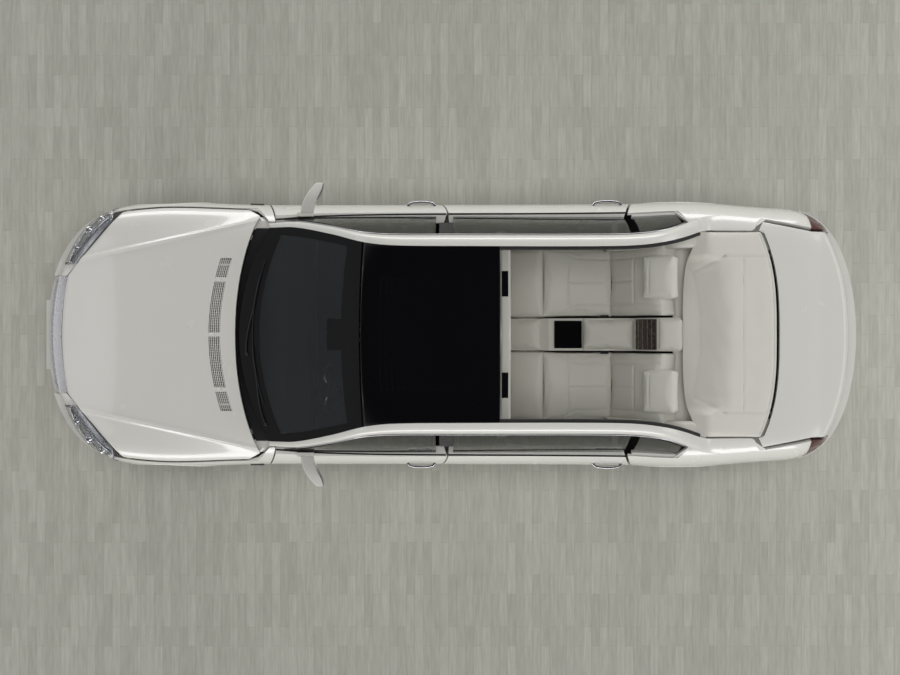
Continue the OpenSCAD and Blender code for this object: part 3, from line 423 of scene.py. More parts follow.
bare_steel = finish("bare_steel", (0.32, 0.32, 0.32), (0.2, 0.2, 0.2), (0.35, 0.55), 18,
                    grain=240, bump=0.15, Metallic=1.0)
black_trim = finish("satin_black_trim", (0.012, 0.012, 0.013), (0.02, 0.02, 0.021), (0.42, 0.55), 20,
                    grain=900, bump=0.12, cells=0.5)
screen_frit = finish("screen_frit", (0.0035, 0.0035, 0.004), (0.005, 0.005, 0.0055), (0.4, 0.52), 30,
                     grain=900, bump=0.04, Specular_IOR_Level=0.18)
seal_rubber = finish("seal_rubber", (0.008, 0.008, 0.008), (0.014, 0.014, 0.014), (0.6, 0.75), 30,
                     grain=700, bump=0.1)
tyre_rubber = finish("tyre_rubber", (0.016, 0.016, 0.017), (0.026, 0.025, 0.025), (0.62, 0.8), 12,
                     grain=320, bump=0.3, cells=0.3)
leather = finish("ivory_leather", (0.68, 0.66, 0.60), (0.63, 0.61, 0.55), (0.42, 0.55), 5,
                 grain=420, bump=0.22, cells=0.75)
# The ivory leather made darker for the header alone: painted shade.
header_painted_shade_leather = finish("header_painted_shade_leather", (0.47, 0.46, 0.415), (0.43, 0.42, 0.38), (0.45, 0.58), 5,
                        grain=420, bump=0.22, cells=0.75)
dark_leather = finish("dark_leather", (0.022, 0.021, 0.021), (0.016, 0.016, 0.016), (0.5, 0.62), 6,
                      grain=420, bump=0.06, cells=0.7)
under_coat = finish("under_coat", (0.05, 0.05, 0.052), (0.08, 0.078, 0.075), (0.6, 0.8), 10, grain=260, bump=0.35)
clear_glass = finish("clear_glass", (0.27, 0.31, 0.33), (0.25, 0.29, 0.31), (0.0, 0.02), 2,
                     Transmission_Weight=1.0, IOR=1.45)
tinted_glass = finish("tinted_glass", (0.27, 0.28, 0.275), (0.25, 0.26, 0.255), (0.0, 0.02), 2,
                      Transmission_Weight=1.0, IOR=1.45)
lens_glass = finish("lens_glass", (0.93, 0.94, 0.95), (0.9, 0.91, 0.93), (0.0, 0.03), 8,
                    Transmission_Weight=1.0, IOR=1.35)
lamp_bowl = finish("lamp_bowl", (0.66, 0.66, 0.68), (0.48, 0.48, 0.50), (0.22, 0.42), 20,
                   grain=200, bump=0.05, Metallic=0.75)
cast_metal = finish("cast_metal", (0.24, 0.24, 0.25), (0.15, 0.15, 0.16), (0.5, 0.7), 16,
                    grain=180, bump=0.4, Metallic=0.8)
plate_white = finish("blank_plate", (0.62, 0.62, 0.60), (0.56, 0.56, 0.54), (0.35, 0.45), 12, grain=300, bump=0.03)
red_lens = finish("red_lens", (0.085, 0.012, 0.010), (0.05, 0.008, 0.008), (0.06, 0.12), 40, grain=260, bump=0.3,
                  Coat_Weight=0.8, Coat_Roughness=0.03)


# %% [markdown]
# Polished wood shows long bands of grain under lacquer. A wave texture, stretched along the car and bent by noise,
# gives the bands; a clear coat gives the lacquer.

# %% Wood
def wood_finish(name, light, dark):
    material = bpy.data.materials.new(name)
    material.use_nodes = True
    nodes, link = material.node_tree.nodes, material.node_tree.links.new
    shader = nodes["Principled BSDF"]
    place = nodes.new("ShaderNodeTexCoord")
    stretch = nodes.new("ShaderNodeMapping")
    stretch.inputs["Scale"].default_value = (3, 30, 30)
    wave = nodes.new("ShaderNodeTexWave")
    wave.inputs["Scale"].default_value = 1.6
    wave.inputs["Distortion"].default_value = 6.0
    wave.inputs["Detail"].default_value = 3.0
    ramp = nodes.new("ShaderNodeValToRGB")
    ramp.color_ramp.elements[0].color = (*dark, 1)
    ramp.color_ramp.elements[1].color = (*light, 1)
    link(place.outputs["Object"], stretch.inputs["Vector"])
    link(stretch.outputs["Vector"], wave.inputs["Vector"])
    link(wave.outputs["Fac"], ramp.inputs["Fac"])
    link(ramp.outputs["Color"], shader.inputs["Base Color"])
    shader.inputs["Roughness"].default_value = 0.25
    shader.inputs["Coat Weight"].default_value = 0.8
    shader.inputs["Coat Roughness"].default_value = 0.04
    return material


dark_wood = wood_finish("dark_wood", (0.06, 0.035, 0.025), (0.018, 0.012, 0.01))
print(len(bpy.data.materials), "materials")

# %% [markdown]
# ## Painted skins
# On the real car each panel is a pressed sheet over a frame. The CAD solids are that frame here, with flat facets, and
# a skin of 4 mm lies on each of them, 1.5 mm proud. Laying the skin on the same formula at a finer step keeps the panel
# gaps exactly where the solids have them, and the paint gets clean reflections.

# %% Skin helpers
def skin(name, nu, nv, surface, turned=False):
    piece = grid_on(name, nu, nv, surface, turned)
    thicken(piece, skin_t, offset=-0.25)
    return piece


def wall(edge_1, edge_2, low, high):
    """Side of the body between two door edges, from a height up to a top line."""
    def surface(u, v):
        x0 = lerp(edge_1(belt_z(0)), edge_2(belt_z(0)), u)
        z = lerp(low, high(x0), 1 - (1 - v) ** 1.8)
        x = lerp(edge_1(z), edge_2(z), u)
        return x, side_y(x, z), z
    return surface


def cut_with(piece, cutter):
    apply_modifier(piece, "BOOLEAN", operation="DIFFERENCE", object=cutter, solver="EXACT")
    bpy.data.objects.remove(cutter, do_unlink=True)


def cut_arch(piece, x, side=1):
    """Wheel arch cut through the panel on the right side, or on the left with side -1."""
    clear_selection()
    bpy.ops.mesh.primitive_cylinder_add(vertices=144, radius=(arch_r + 1) * MM, depth=0.8,
                                        location=(x * MM, side * 0.8, axle_z * MM), rotation=(math.pi / 2, 0, 0))
    cut_with(piece, bpy.context.object)


def arch_lip(name, x, start, end):
    """Rolled lip round a wheel arch, from one angle to another in degrees."""
    points = []
    for i in range(41):
        a = math.radians(lerp(start, end, i / 40))
        px, pz = x + (arch_r + 3) * math.cos(a), axle_z + (arch_r + 3) * math.sin(a)
        points.append((px, side_y(px, pz) - 2, pz))
    return rod(name, points, 6, 2)


# %% Front wings
def wing_top_y(x):
    return lerp(half_width(x) - 46, 814, ease((x - door_a + 30) / 75))


wing = skin("wing", 56, 30, wall(lambda z: wing_front_x, lambda z: edge_a(z) - shut_gap - 1, 248.3,
                                 lambda x: section_z(x, wing_top_y(x))), turned=True)
cut_arch(wing, front_axle_x)
roll_edges(wing, skin_edge)
smooth(wing)
front_lip = arch_lip("front_lip", front_axle_x, -16, 152)
wings = both_sides("front_wing_skins", joined("wing", wing, front_lip))
dress(wings, white_paint, "root", "white_paint")


# %% Rear quarters
def quarter_top_y(x):
    k = x - rear_axle_x
    if k < 455:
        return lerp(side_y(x, belt_z(x)), 742, ease((k + 40) / 110))
    return lerp(lerp(742, 836, ease((k - 455) / 72)), 770, max(0, (k - 530) / 345))


def quarter_surface(u, v):
    x0 = lerp(edge_c(waist_z) + shut_gap, quarter_end_x, u)
    top = math.acos(min(1, quarter_top_y(x0) / half_width(x0)) ** (shoulder_power / 2))
    k = max(0, v - 0.35) / 0.65
    z = lerp(sill_z + 20, waist_z, v / 0.35) if v < 0.35 else waist_z + (crown(x0) - waist_z) * math.sin(top * k)
    x = lerp(edge_c(min(z, belt_z(x0))) + shut_gap, quarter_end_x, u)
    y = side_y(x, z) if v < 0.35 else half_width(x) * math.cos(top * k) ** (2 / shoulder_power)
    return x, y, z


quarter = skin("quarter", 62, 46, quarter_surface, turned=True)
cut_arch(quarter, rear_axle_x)
roll_edges(quarter, skin_edge)
smooth(quarter)
rear_lip = arch_lip("rear_lip", rear_axle_x, -12, 168)
quarters = both_sides("rear_quarter_skins", joined("quarter", quarter, rear_lip))
dress(quarters, white_paint, "root", "white_paint")

# %% [markdown]
# ## Doors
# A door shows its skin outside and, when it stands open, a leather lining with an armrest inside. Each
# is built for the right side and mirrored, so both sides match.

# %% Doors
HANDLES = {"front": (-300, -98), "rear": (1060, 1270)}
handle_z, strip_z = 868, 450


def door_lining(edge_1, edge_2):
    """Padded lining on the inner face of a door, with an armrest roll."""
    def surface(u, v):
        z = lerp(sill_z + 95, belt_z(0) - 40, v)
        x = lerp(edge_1(z) + 70, edge_2(z) - 90, u)
        roll = 26 * math.exp(-((z - 690) / 55) ** 2) * ease(u * 6) * ease((1 - u) * 6)
        return x, side_y(x, z) - 77 - 5 * ease(u * 14) * ease((1 - u) * 14) - roll, z
    return surface


def door_pieces(which, edge_1, edge_2):
    out = skin("door_skin", 56, 30, wall(edge_1, lambda z: edge_2(z) - shut_gap, 257, belt_z), turned=True)
    roll_edges(out, skin_edge)
    smooth(out)
    low, high = HANDLES[which]
    grip = [(lerp(low, high, i / 12),
             side_y(lerp(low, high, i / 12), handle_z) + 30 * math.sin(math.pi * i / 12) ** 0.35, handle_z)
            for i in range(13)]
    handle = rod("handle", grip, 11, 4)
    strip = rod("strip", [(lerp(edge_1(strip_z) + 3, edge_2(strip_z) - 12, i / 24),
                           side_y(lerp(edge_1(strip_z), edge_2(strip_z), i / 24), strip_z) + 3, strip_z)
                          for i in range(25)], 6, 3)
    belt = rod("belt", [(lerp(edge_1(980) + 4, edge_2(980) - 14, i / 24),
                         side_y(lerp(edge_1(980), edge_2(980), i / 24), belt_z(0)) - 10,
                         belt_z(lerp(edge_1(980), edge_2(980), i / 24)) + 3) for i in range(25)], 6, 3)
    lining = grid_on("lining", 40, 30, door_lining(edge_1, edge_2))
    thicken(lining, 6)
    smooth(lining, 60)
    return out, handle, strip, belt, lining


for which, edge_1, edge_2 in (("front", edge_a, edge_b), ("rear", edge_b, edge_c)):
    for part, look, slot in zip(door_pieces(which, edge_1, edge_2),
                                (white_paint, chrome, chrome, seal_rubber, leather),
                                ("white_paint", "chrome", "chrome", "trim", "leather")):
        label = part.name.split(".")[0]
        paint(part, look)
        other = mirrored(part, label + "_" + which + "_left")
        part.name = label + "_" + which + "_right"
        mount(part, "door_" + which + "_right", slot)
        mount(other, "door_" + which + "_left", slot)

# %% [markdown]
# ## Bonnet
# The bonnet is the largest sheet seen from above: a flat crown between two crests that run back from the radiator to
# the screen pillars, each with a hollow outboard of it. The skin repeats the solid's lines and is cut for the vent.

# %% Bonnet
ridge_h, grille_w, nose_bow, bonnet_corner = 16, 864.0, 50.0, 881.0
crest_front, crest_rear, crest_share, crest_h, crest_w = 552.5, 822.0, 0.64, 9.0, 17.0
vent_bow, vent_centre, vent_wide, vent_half = 91.0, -1694.0, 84.0, 552.0


def bonnet_front_x(y):
    a, w = abs(y), grille_w / 2
    return upper_nose_x + 106 + nose_bow * (min(a, w) / w) ** 2 + 0.86 * max(0, a - w)


def bonnet_rear_x(y):
    return lerp(cowl_x - 34, door_a - 34, min(1, abs(y) / 850) ** 2.2)


def bonnet_edge_y(x):
    return half_width(x) - 46 - shut_gap - 8


def bonnet_z(x, y):
    a, r, e = abs(y), lerp(552, 826, (x - front_axle_x + 620) / 1330), bonnet_edge_y(x)
    k = (a - r) / max(40, e - r)
    hollow = ridge_h * (a / r) ** 3 - ridge_h if a < r else -ridge_h * math.sin(math.pi * min(1, k)) * (1 - 0.3 * k)
    return section_z(x, a) + hollow + crest_h * max(0, 1 - abs(a - r) / crest_w)


def bonnet_span(u):
    x = lerp(bonnet_front_x(bonnet_corner), bonnet_rear_x(bonnet_corner), u)
    return bonnet_edge_y(x) * (1 - 0.05 * ease((x - door_a + 130) / 100))


def bonnet_across(u, c):
    """Place across the bonnet, with one column of the grid kept on each crest."""
    crest, a = lerp(crest_front, crest_rear, u), abs(c)
    outer = (a - crest_share) / (1 - crest_share)
    y = crest * a / crest_share if a < crest_share else lerp(crest, bonnet_span(u), outer)
    return math.copysign(y, c)


def bonnet_surface(u, v):
    c = 2 * v - 1
    x = lerp(bonnet_front_x(bonnet_across(0, c)), bonnet_rear_x(bonnet_across(1, c)), u)
    y = bonnet_across(u, c)
    return x, y, bonnet_z(x, y)


def vent_line(y, across):
    """Point of the vent strip: across runs from -1 at its front edge to 1 at its rear edge."""
    return vent_centre + vent_bow * (y / vent_half) ** 2 + across * vent_wide / 2


bonnet = skin("bonnet_skin", 66, 150, bonnet_surface)
opening = grid_on("opening", 2, 60, lambda u, v: (vent_line(lerp(-vent_half, vent_half, v), 2 * u - 1),
                                                  lerp(-vent_half, vent_half, v), 1100))
thicken(opening, 200)
cut_with(bonnet, opening)
roll_edges(bonnet, skin_edge)
smooth(bonnet)
dress(bonnet, white_paint, "bonnet", "white_paint")
print("Bonnet skin", len(bonnet.data.polygons), "faces")

# %% [markdown]
# ## Boot lid and bumpers
# The lid's top bends down into its rear face in one sheet. The bumpers wrap round the corners as one moulding each.

# %% Boot lid
def lid_front_x(y):
    return lerp(boot_x + shut_gap, rear_axle_x + 470, min(1, abs(y) / 790) ** 3)


def lid_surface(u, v):
    c = 2 * v - 1
    top_share = 0.68
    k = min(1, u / top_share)
    x = lerp(lid_front_x(c * 790), lid_end_x - 165 * abs(c) ** 2.4, k)
    e = 742 if x > quarter_end_x else min(quarter_top_y(x) - shut_gap, 742 + 0.18 * (quarter_end_x - x))
    y = c * e
    z = section_z(min(x, quarter_end_x + 60), y * 0.97) - max(0, x - quarter_end_x - 60) * 0.16
    drop = max(0, (u - top_share) / (1 - top_share))
    a = math.radians(90 * min(1, drop * 3))
    if u <= top_share:
        return x, y, z
    return x + 35 * math.sin(a) + 62 * drop, y * (1 - 0.01 * drop), lerp(z, bumper_top_rear + shut_gap, drop ** 1.15)


lid = skin("boot_lid_skin", 84, 64, lid_surface)
roll_edges(lid, skin_edge)
smooth(lid)
dress(lid, white_paint, "boot_lid", "white_paint")


# %% Bumpers
def bumper_surface(front, end_x, low, top):
    tip, way, reach = (bumper_nose_x, 1, 800) if front else (bumper_tail_x, -1, 600)

    def surface(u, v):
        s = 2 * u - 1
        z = lerp(low, top, v)
        tuck = 280 * max(0, 0.55 - v) ** 2 + 204 * max(0, v - 0.62) ** 2
        start = tip + way * tuck
        x = lerp(start, end_x, s * s)
        low_in = sill_tuck * ((waist_z - z) / (waist_z - sill_z)) ** 2 if z < waist_z else 0
        y = (side_limit(x) - low_in) * end_round(abs(x - start), reach)
        return x, math.copysign(y, s), z
    return surface


def bumper_line(front, end_x, low, top, z, out, share):
    """Points along a bumper at a height, pushed out of its face, over a share of its wrap."""
    surface = bumper_surface(front, end_x, low, top)
    points = []
    for i in range(81):
        u = 0.5 + (i / 80 - 0.5) * share
        x, y, h = surface(u, (z - low) / (top - low))
        x2, y2, _ = surface(u + 0.002, (z - low) / (top - low))
        along = Vector((x2 - x, y2 - y, 0)).normalized()
        side = Vector((along.y, -along.x, 0)) * (-1 if front else 1)
        points.append((x + side.x * out, y + side.y * out, h))
    return points


front_wrap = (True, wing_front_x - fixed_gap, sill_z, bumper_top_front)
rear_wrap = (False, quarter_end_x + fixed_gap, sill_z + 20, bumper_top_rear)
front_skin = skin("front_bumper_skin", 120, 24, bumper_surface(*front_wrap))
# Openings for the radiator and the lower intake: middle height, width and height in metres
for mid_z, wide, tall in ((0.72, 0.888, 0.36), (0.30, 0.94, 0.076)):
    clear_selection()
    bpy.ops.mesh.primitive_cube_add(size=1, location=(-2.9, 0, mid_z))
    bpy.context.object.scale = (0.5, wide, tall)
    bpy.ops.object.transform_apply(location=True, rotation=True, scale=True)
    cut_with(front_skin, bpy.context.object)
rear_skin = skin("rear_bumper_skin", 120, 24, bumper_surface(*rear_wrap), turned=True)
for side in (1, -1):
    cut_arch(front_skin, front_axle_x, side)
for piece in (front_skin, rear_skin):
    roll_edges(piece, skin_edge)
    smooth(piece)
    dress(piece, white_paint, "root", "white_paint")
strips = joined("bumper_strips", rod("a", bumper_line(*front_wrap, 470, 2, 0.96), 9, 3),
                rod("b", bumper_line(*rear_wrap, 520, 2, 0.96), 9, 3),
                rod("c", bumper_line(*rear_wrap, 610, 1, 0.9), 5, 3))
dress(strips, chrome, "root", "chrome")

# %% [markdown]
# ## Roof, rails and glass
# The black front roof and the windscreen meet in one continuous sweep between two white rails. The rails run on past
# the roof to the rear, open, as the side frame that the soft top closes on. Glass needs real thickness to refract, so
# each pane is a grid with Solidify, and it stands for its CAD node.

# %% Rails
def rail_at(x):
    return [station(RAIL, x, column) for column in (1, 2, 3, 4)]


def rail_surface(u, v):
    x = lerp(RAIL[0][0], RAIL[-1][0], u)
    iy, iz, oy, oz = rail_at(x)
    s = math.sin(math.pi * v)
    y, z = lerp(oy, iy, v) + 12 * s, lerp(oz, iz, v) + 14 * s
    if x > rear_axle_x - 60:
        low = section_z(x, y) + 1.2
        fade = 1 - ease((x - rear_axle_x - 10) / (RAIL[-1][0] - rear_axle_x - 12))
        z = low + max(0, z - low) * fade
    return x, y, z


rail = grid_on("rail", 150, 12, rail_surface, turned=True)
thicken(rail, 34)
roll_edges(rail, 5, 3)
smooth(rail, 45)
posts = cad_copy("body_sides", "posts")
bpy.ops.object.mode_set(mode="EDIT")
bpy.ops.mesh.separate(type="LOOSE")
bpy.ops.object.mode_set(mode="OBJECT")
solids = list(bpy.context.selected_objects)
keep = []
for solid in solids:
    wide = max(v.co.x for v in solid.data.vertices) - min(v.co.x for v in solid.data.vertices)
    if wide > 1.0:
        bpy.data.objects.remove(solid, do_unlink=True)
    else:
        keep.append(solid)
posts = joined("posts", *keep)
smooth(posts, 30)
paint(posts, black_trim, white_paint)
for face in posts.data.polygons:
    if face.center.x / MM < door_a + 140:
        face.material_index = 1
rails = both_sides("roof_rails", rail)
dress(rails, white_paint, "root", "white_paint", "body_sides")
mount(posts, "root", "trim", "body_sides")
print("Posts kept:", len(keep))


def along_rail(x1, x2, column_y, column_z, out, up, count=60):
    points = []
    for i in range(count + 1):
        x = lerp(x1, x2, i / count)
        points.append((x, station(RAIL, x, column_y) + out, station(RAIL, x, column_z) + up))
    return points


seal = both_sides("roof_seals", rod("seal", along_rail(door_b + 200, rear_axle_x + 20, 1, 2, -12, -12), 13, 3))
dress(seal, seal_rubber, "root", "trim")
gutter = both_sides("drip_strips", rod("gutter", along_rail(RAIL[1][0], rear_axle_x - 90, 3, 4, 4, -3), 5, 3))
dress(gutter, chrome, "root", "chrome")


# %% Windscreen
def screen_surface(u, v):
    x = lerp(RAIL[0][0], RAIL[3][0], v)
    iy, iz, _, _ = rail_at(x)
    s = 2 * u - 1
    k = 1 - s * s
    return x - lerp(213, 16, v) * k, s * (iy - 0.96), iz + lerp(20, 82, v) * k


screen = grid_on("windscreen_glass", 60, 40, screen_surface, turned=True)
thicken(screen, 7.8)
smooth(screen)
dress(screen, clear_glass, "root", "clear_glass", "windscreen")


def screen_band(u0, u1, v0, v1, lift):
    def surface(u, v):
        x, y, z = screen_surface(lerp(u0, u1, u), lerp(v0, v1, v))
        return x, y, z + lift
    return surface


# Columns: steps across and along, then the band's ends across and along the screen
FRIT = [(60, 8, 0, 1, 0, 0.17), (6, 40, 0, 0.04, 0.12, 1), (6, 40, 0.96, 1, 0.12, 1), (60, 6, 0, 1, 0.86, 1),
        (16, 12, 0.42, 0.58, 0.745, 0.87)]
frit = [grid_on("frit", nu, nv, screen_band(*ends, 1.2), True) for nu, nv, *ends in FRIT]
for band in frit:
    thicken(band, 1.6)
frit = joined("screen_border", *frit)
smooth(frit)
dress(frit, screen_frit, "root", "trim")


# %% Roof panel
roof_front_x, roof_back_x = RAIL[3][0] + 12, door_b + 404
roof_top_z, rail_top_z = 1573, 1543


def roof_surface(x1, x2, y_share, lift):
    def surface(u, v):
        x = lerp(x1, x2, u)
        s = (2 * v - 1) * y_share
        k = 1 - s * s
        iy, edge, _, _ = rail_at(x)
        z = (edge + (roof_top_z - rail_top_z) * k * (1 - 0.5 * ((x - door_b + 100) / 900) ** 4)
             + (rail_top_z - edge) * k * 0.92)
        return x - 16 * k * max(0, 1 - (x - roof_front_x) / 700), s * (iy - fixed_gap), z + lift
    return surface


roof = grid_on("roof_skin", 50, 50, roof_surface(roof_front_x, roof_back_x, 1, 0))
thicken(roof, 28)
roll_edges(roof, 3)
smooth(roof)
dress(roof, black_paint, "root", "black_paint", "roof_panel")
slats = []
for i in range(16):
    x1 = lerp(-452, 176, i / 16)
    slat = grid_on("slat", 2, 30, roof_surface(x1, x1 + 33, 0.625, 1.2))
    thicken(slat, 2.4)
    slats.append(slat)
slats = joined("roof_slats", *slats)
roll_edges(slats, 0.8)
smooth(slats)
dress(slats, black_paint, "root", "black_paint")


# %% Side glass
def glass_y(x, z):
    b = side_y(x, belt_z(x)) - 26
    k = max(0, (z - belt_z(x)) / (1470 - belt_z(x)))
    return lerp(b, 672, k) + 16 * math.sin(math.pi * min(1, k))


def pane_surface(x1, x2):
    def surface(u, v):
        x = lerp(x1, x2, u)
        low = belt_z(x) + fixed_gap
        z = lerp(low, max(low + 30, station(RAIL, x, 4) - 34 - shut_gap), v)
        return x, glass_y(x, z), z
    return surface


for label, body, node, x1, x2 in (("front_pane", "door_front_", "glass_front_", door_a + 150, door_b - 34),
                                  ("rear_pane", "door_rear_", "glass_rear_", door_b + 90, door_c - 110)):
    pane = grid_on(label + "_right", 40, 14, pane_surface(x1, x2), turned=True)
    thicken(pane, 6)
    smooth(pane)
    paint(pane, tinted_glass)
    other = mirrored(pane, label + "_left")
    mount(pane, body + "right", "dark_glass", node + "right")
    mount(other, body + "left", "dark_glass", node + "left")
pane = grid_on("quarter_pane", 24, 12, pane_surface(door_c - 44, rear_axle_x - 110), turned=True)
thicken(pane, 6)
smooth(pane)
panes = both_sides("quarter_panes", pane)
dress(panes, tinted_glass, "root", "dark_glass", "quarter_glass")

# %% [markdown]
# ## Seats
# A leather seat is foam under a sewn cover: it crowns in the middle, pulls in at the seams and creases where pads meet.
# A pad starts as a cube cut to its size, is remeshed into small even faces, swells under cloth pressure with a cap on
# the move, and gets one subdivision. The seams are pressed in afterwards, because a remesh would wipe them out. The
# pad is made lying flat, and only then laid on the seat's slope.

# %% Pad maker
def coords(piece):
    flat = np.empty(len(piece.data.vertices) * 3)
    piece.data.vertices.foreach_get("co", flat)
    return flat.reshape(-1, 3)


def set_coords(piece, points):
    piece.data.vertices.foreach_set("co", np.ascontiguousarray(points).ravel())
    piece.data.update()


def swell(piece, cap, pressure=4.0):
    """Cloth pressure for 20 frames, with no point moved further than the cap in mm."""
    rest = coords(piece)
    pick(piece)
    cloth = piece.modifiers.new("Cloth", "CLOTH")
    cloth.settings.quality = 4
    cloth.settings.use_pressure = True
    cloth.settings.uniform_pressure_force = pressure
    cloth.settings.effector_weights.gravity = 0
    for step in range(1, 21):
        bpy.context.scene.frame_set(step)
    bpy.ops.object.modifier_apply(modifier="Cloth")
    bpy.context.scene.frame_set(1)
    move = coords(piece) - rest
    reach = np.linalg.norm(move, axis=1, keepdims=True)
    set_coords(piece, rest + move * np.minimum(1, cap * MM / np.maximum(reach, 1e-9)))


def sew(piece, seams, width, depth, top_only=False):
    """Presses seam lines, given in plan in mm, into a piece from above, or into its upper face alone."""
    points = coords(piece)
    flat = points[:, :2] / MM
    near = np.full(len(flat), 1e9)
    for line in seams:
        for p, q in zip(line, line[1:]):
            p, run = np.array(p, float), np.array(q, float) - np.array(p, float)
            t = np.clip(((flat - p) @ run) / (run @ run), 0, 1)
            near = np.minimum(near, np.linalg.norm(flat - p - np.outer(t, run), axis=1))
    press = depth * MM * np.exp(-(near / width) ** 2)
    if top_only:
        press = press * np.clip(points[:, 2] / max(points[:, 2].max(), 1e-6), 0, 1) ** 2
    points[:, 2] -= press
    set_coords(piece, points)


def pad(name, size, seams, laid, voxel=14, cap=16, crown_up=10, shape=None):
    """Stuffed pad of a size in mm; laid maps its own mm to the car's mm."""
    clear_selection()
    bpy.ops.mesh.primitive_cube_add(size=2)
    piece = bpy.context.object
    piece.name = name
    bpy.ops.object.mode_set(mode="EDIT")
    bpy.ops.mesh.subdivide(number_cuts=13)
    bpy.ops.object.mode_set(mode="OBJECT")
    points = coords(piece)
    a, b, c = points.T
    pull = 1 - 0.035 * (1 - b ** 2) * (np.abs(a) > 0.98)
    crowned = c + (c > 0) * crown_up / size[2] * 2 * (1 - a ** 2) * (1 - b ** 2)
    points = np.stack([a * pull * size[0] / 2, b * size[1] / 2, crowned * size[2] / 2], axis=1)
    if shape:
        points = np.array([shape(*p) for p in points])
    set_coords(piece, points * MM)
    roll_edges(piece, min(size) * 0.24, 4, 60)
    apply_modifier(piece, "REMESH", mode="VOXEL", voxel_size=voxel * MM)
    swell(piece, cap)
    apply_modifier(piece, "SUBSURF", levels=1, render_levels=1)
    apply_modifier(piece, "SMOOTH", factor=0.5, iterations=3)
    if seams:
        sew(piece, seams, 7, 9, top_only=True)
    points = coords(piece) / MM
    set_coords(piece, np.array([laid(*p) for p in points]) * MM)
    smooth(piece, 70)
    paint(piece, leather)
    return piece


def laid_on(start, end, y):
    """Lays a pad on a slope: its length runs from start to end in x and z, its top faces up and forward."""
    (x1, z1), (x2, z2) = start, end
    run = Vector((x2 - x1, z2 - z1)).normalized()
    mid = ((x1 + x2) / 2, (z1 + z2) / 2)

    def laid(a, b, c):
        return mid[0] + run.x * a - run.y * c, y + b, mid[1] + run.y * a + run.x * c
    return laid


def soft(piece, slot, fill, *nodes):
    return mount(piece, "root", slot, *nodes)


def both_seats(pads, fill, node):
    """Mirrors each pad to the other seat and mounts both."""
    for right in pads:
        label = right.name
        left = mirrored(right, label + "_left")
        right.name = label + "_right"
        for half in (right, left):
            soft(half, "leather", fill, node)


# %% Rear seats
seat_y, seat_w = 395, 554
cushion_seams = [[(-150, 266), (-95, 216), (-20, 180), (276, 172)],
                 [(-150, -266), (-95, -216), (-20, -180), (276, -172)],
                 [(-70, 200), (-84, 0), (-70, -200)], [(-78, 0), (276, 0)]]
back_seams = [[(-280, 172), (60, 172), (270, 186)], [(-280, -172), (60, -172), (270, -186)], [(-280, 0), (10, 0)],
              [(10, 172), (10, -172)]]
rear_pads = [
    pad("leg_rest", (326, seat_w - 8, 110), [], laid_on((466, 392), (748, 532), seat_y), cap=14, voxel=17),
    pad("rear_cushion", (566, seat_w - 8, 150), cushion_seams, laid_on((700, 520), (1266, 520), seat_y), cap=18),
    pad("rear_back", (580, seat_w - 8, 150), back_seams, laid_on((1282, 540), (1600, 990), seat_y), cap=18),
    pad("rear_pillow", (250, 300, 110), [[(-60, -120), (-60, 120)]], laid_on((1448, 960), (1618, 1078), 412), cap=22,
        crown_up=22),
]
both_seats(rear_pads, 0.8, "rear_seats")
print("Rear seat pads", [len(p.data.polygons) for p in rear_pads])

# %% [markdown]
# ## Rear console
# Between the seats a console carries a black tray, a padded armrest, a dark wooden lid with bright strips and a leather
# lid. Each piece lies on the console's stepped top.

# %% Rear console
console = [pad("console_foot", (300, 236, 120), [], laid_on((466, 386), (716, 516), 0), cap=12),
           pad("console_armrest", (380, 224, 110), [], laid_on((1010, 655), (1385, 720), 0), cap=12),
           pad("console_lid", (168, 226, 60), [], laid_on((1530, 975), (1694, 995), 0), cap=8, voxel=12)]
for part, fill in zip(console, (0.8, 0.8, 0.9)):
    soft(part, "leather", fill)
sides = cad_copy("rear_console", "console_sides")
roll_edges(sides, 6, 3, 30)
smooth(sides)
dress(sides, leather, "root", "leather", "rear_console")
tray = block("console_tray", (796, -104, 640), (1003, 104, 668), 5)
dress(tray, black_paint, "root", "black_paint")


def laid_block(name, low, high, edge, start, end, look, slot):
    """Block made flat and laid on a slope, like the pads."""
    piece = block(name, low, high, edge)
    laid = laid_on(start, end, 0)
    set_coords(piece, np.array([laid(*p) for p in coords(piece) / MM]) * MM)
    return dress(piece, look, "root", slot)


wood_slope = ((1392, 825), (1512, 962))
laid_block("console_wood_lid", (-92, -112, -14), (92, 112, 16), 6, *wood_slope, dark_wood, "wood")
for i, a in enumerate((-62, -20, 22, 64)):
    laid_block("console_strip_%d" % (i + 1), (a - 2.5, -106, 14), (a + 2.5, 106, 19), 1.2, *wood_slope,
               chrome, "chrome")

# %% [markdown]
# ## Folded top and its cover
# Behind the seats the soft top lies folded under a sewn leather cover that is stretched to the edge of the boot. Its
# front slopes down behind the seat backs, and two wings run forward beside them. It is a grid on that form with
# Solidify, filled by a little cloth pressure. Shallow creases are then drawn across it, and seams and folds pressed in.

# %% Cover
cover_half = 737.0
slope_end, wing_end, cover_drop = rear_axle_x + 300, rear_axle_x + 130, 130


def valley(y):
    """Fold behind the seat backs where the cover's slope begins."""
    a = abs(y)
    return rear_axle_x + 63 - 54 * min(1, a / 452) ** 2 - max(0, a - 452)


def cover_surface(u, v):
    c = 2 * v - 1
    a = abs(c)
    near = rear_axle_x - 62 + 110 * a ** 4
    x = lerp(near, lerp(boot_x - 8, rear_axle_x + 456, (a * cover_half / 790) ** 3), u)
    rim = section_z(max(x, rear_axle_x + 60), c * cover_half * 0.985) + 6
    start = min(valley(c * cover_half), near + 130)
    rise = ease((x - start) / (lerp(slope_end, wing_end, ease((a - 0.70) / 0.08)) - start))
    return x, c * cover_half, lerp(lerp(rim - cover_drop, rim + 16, rise), rim, u)


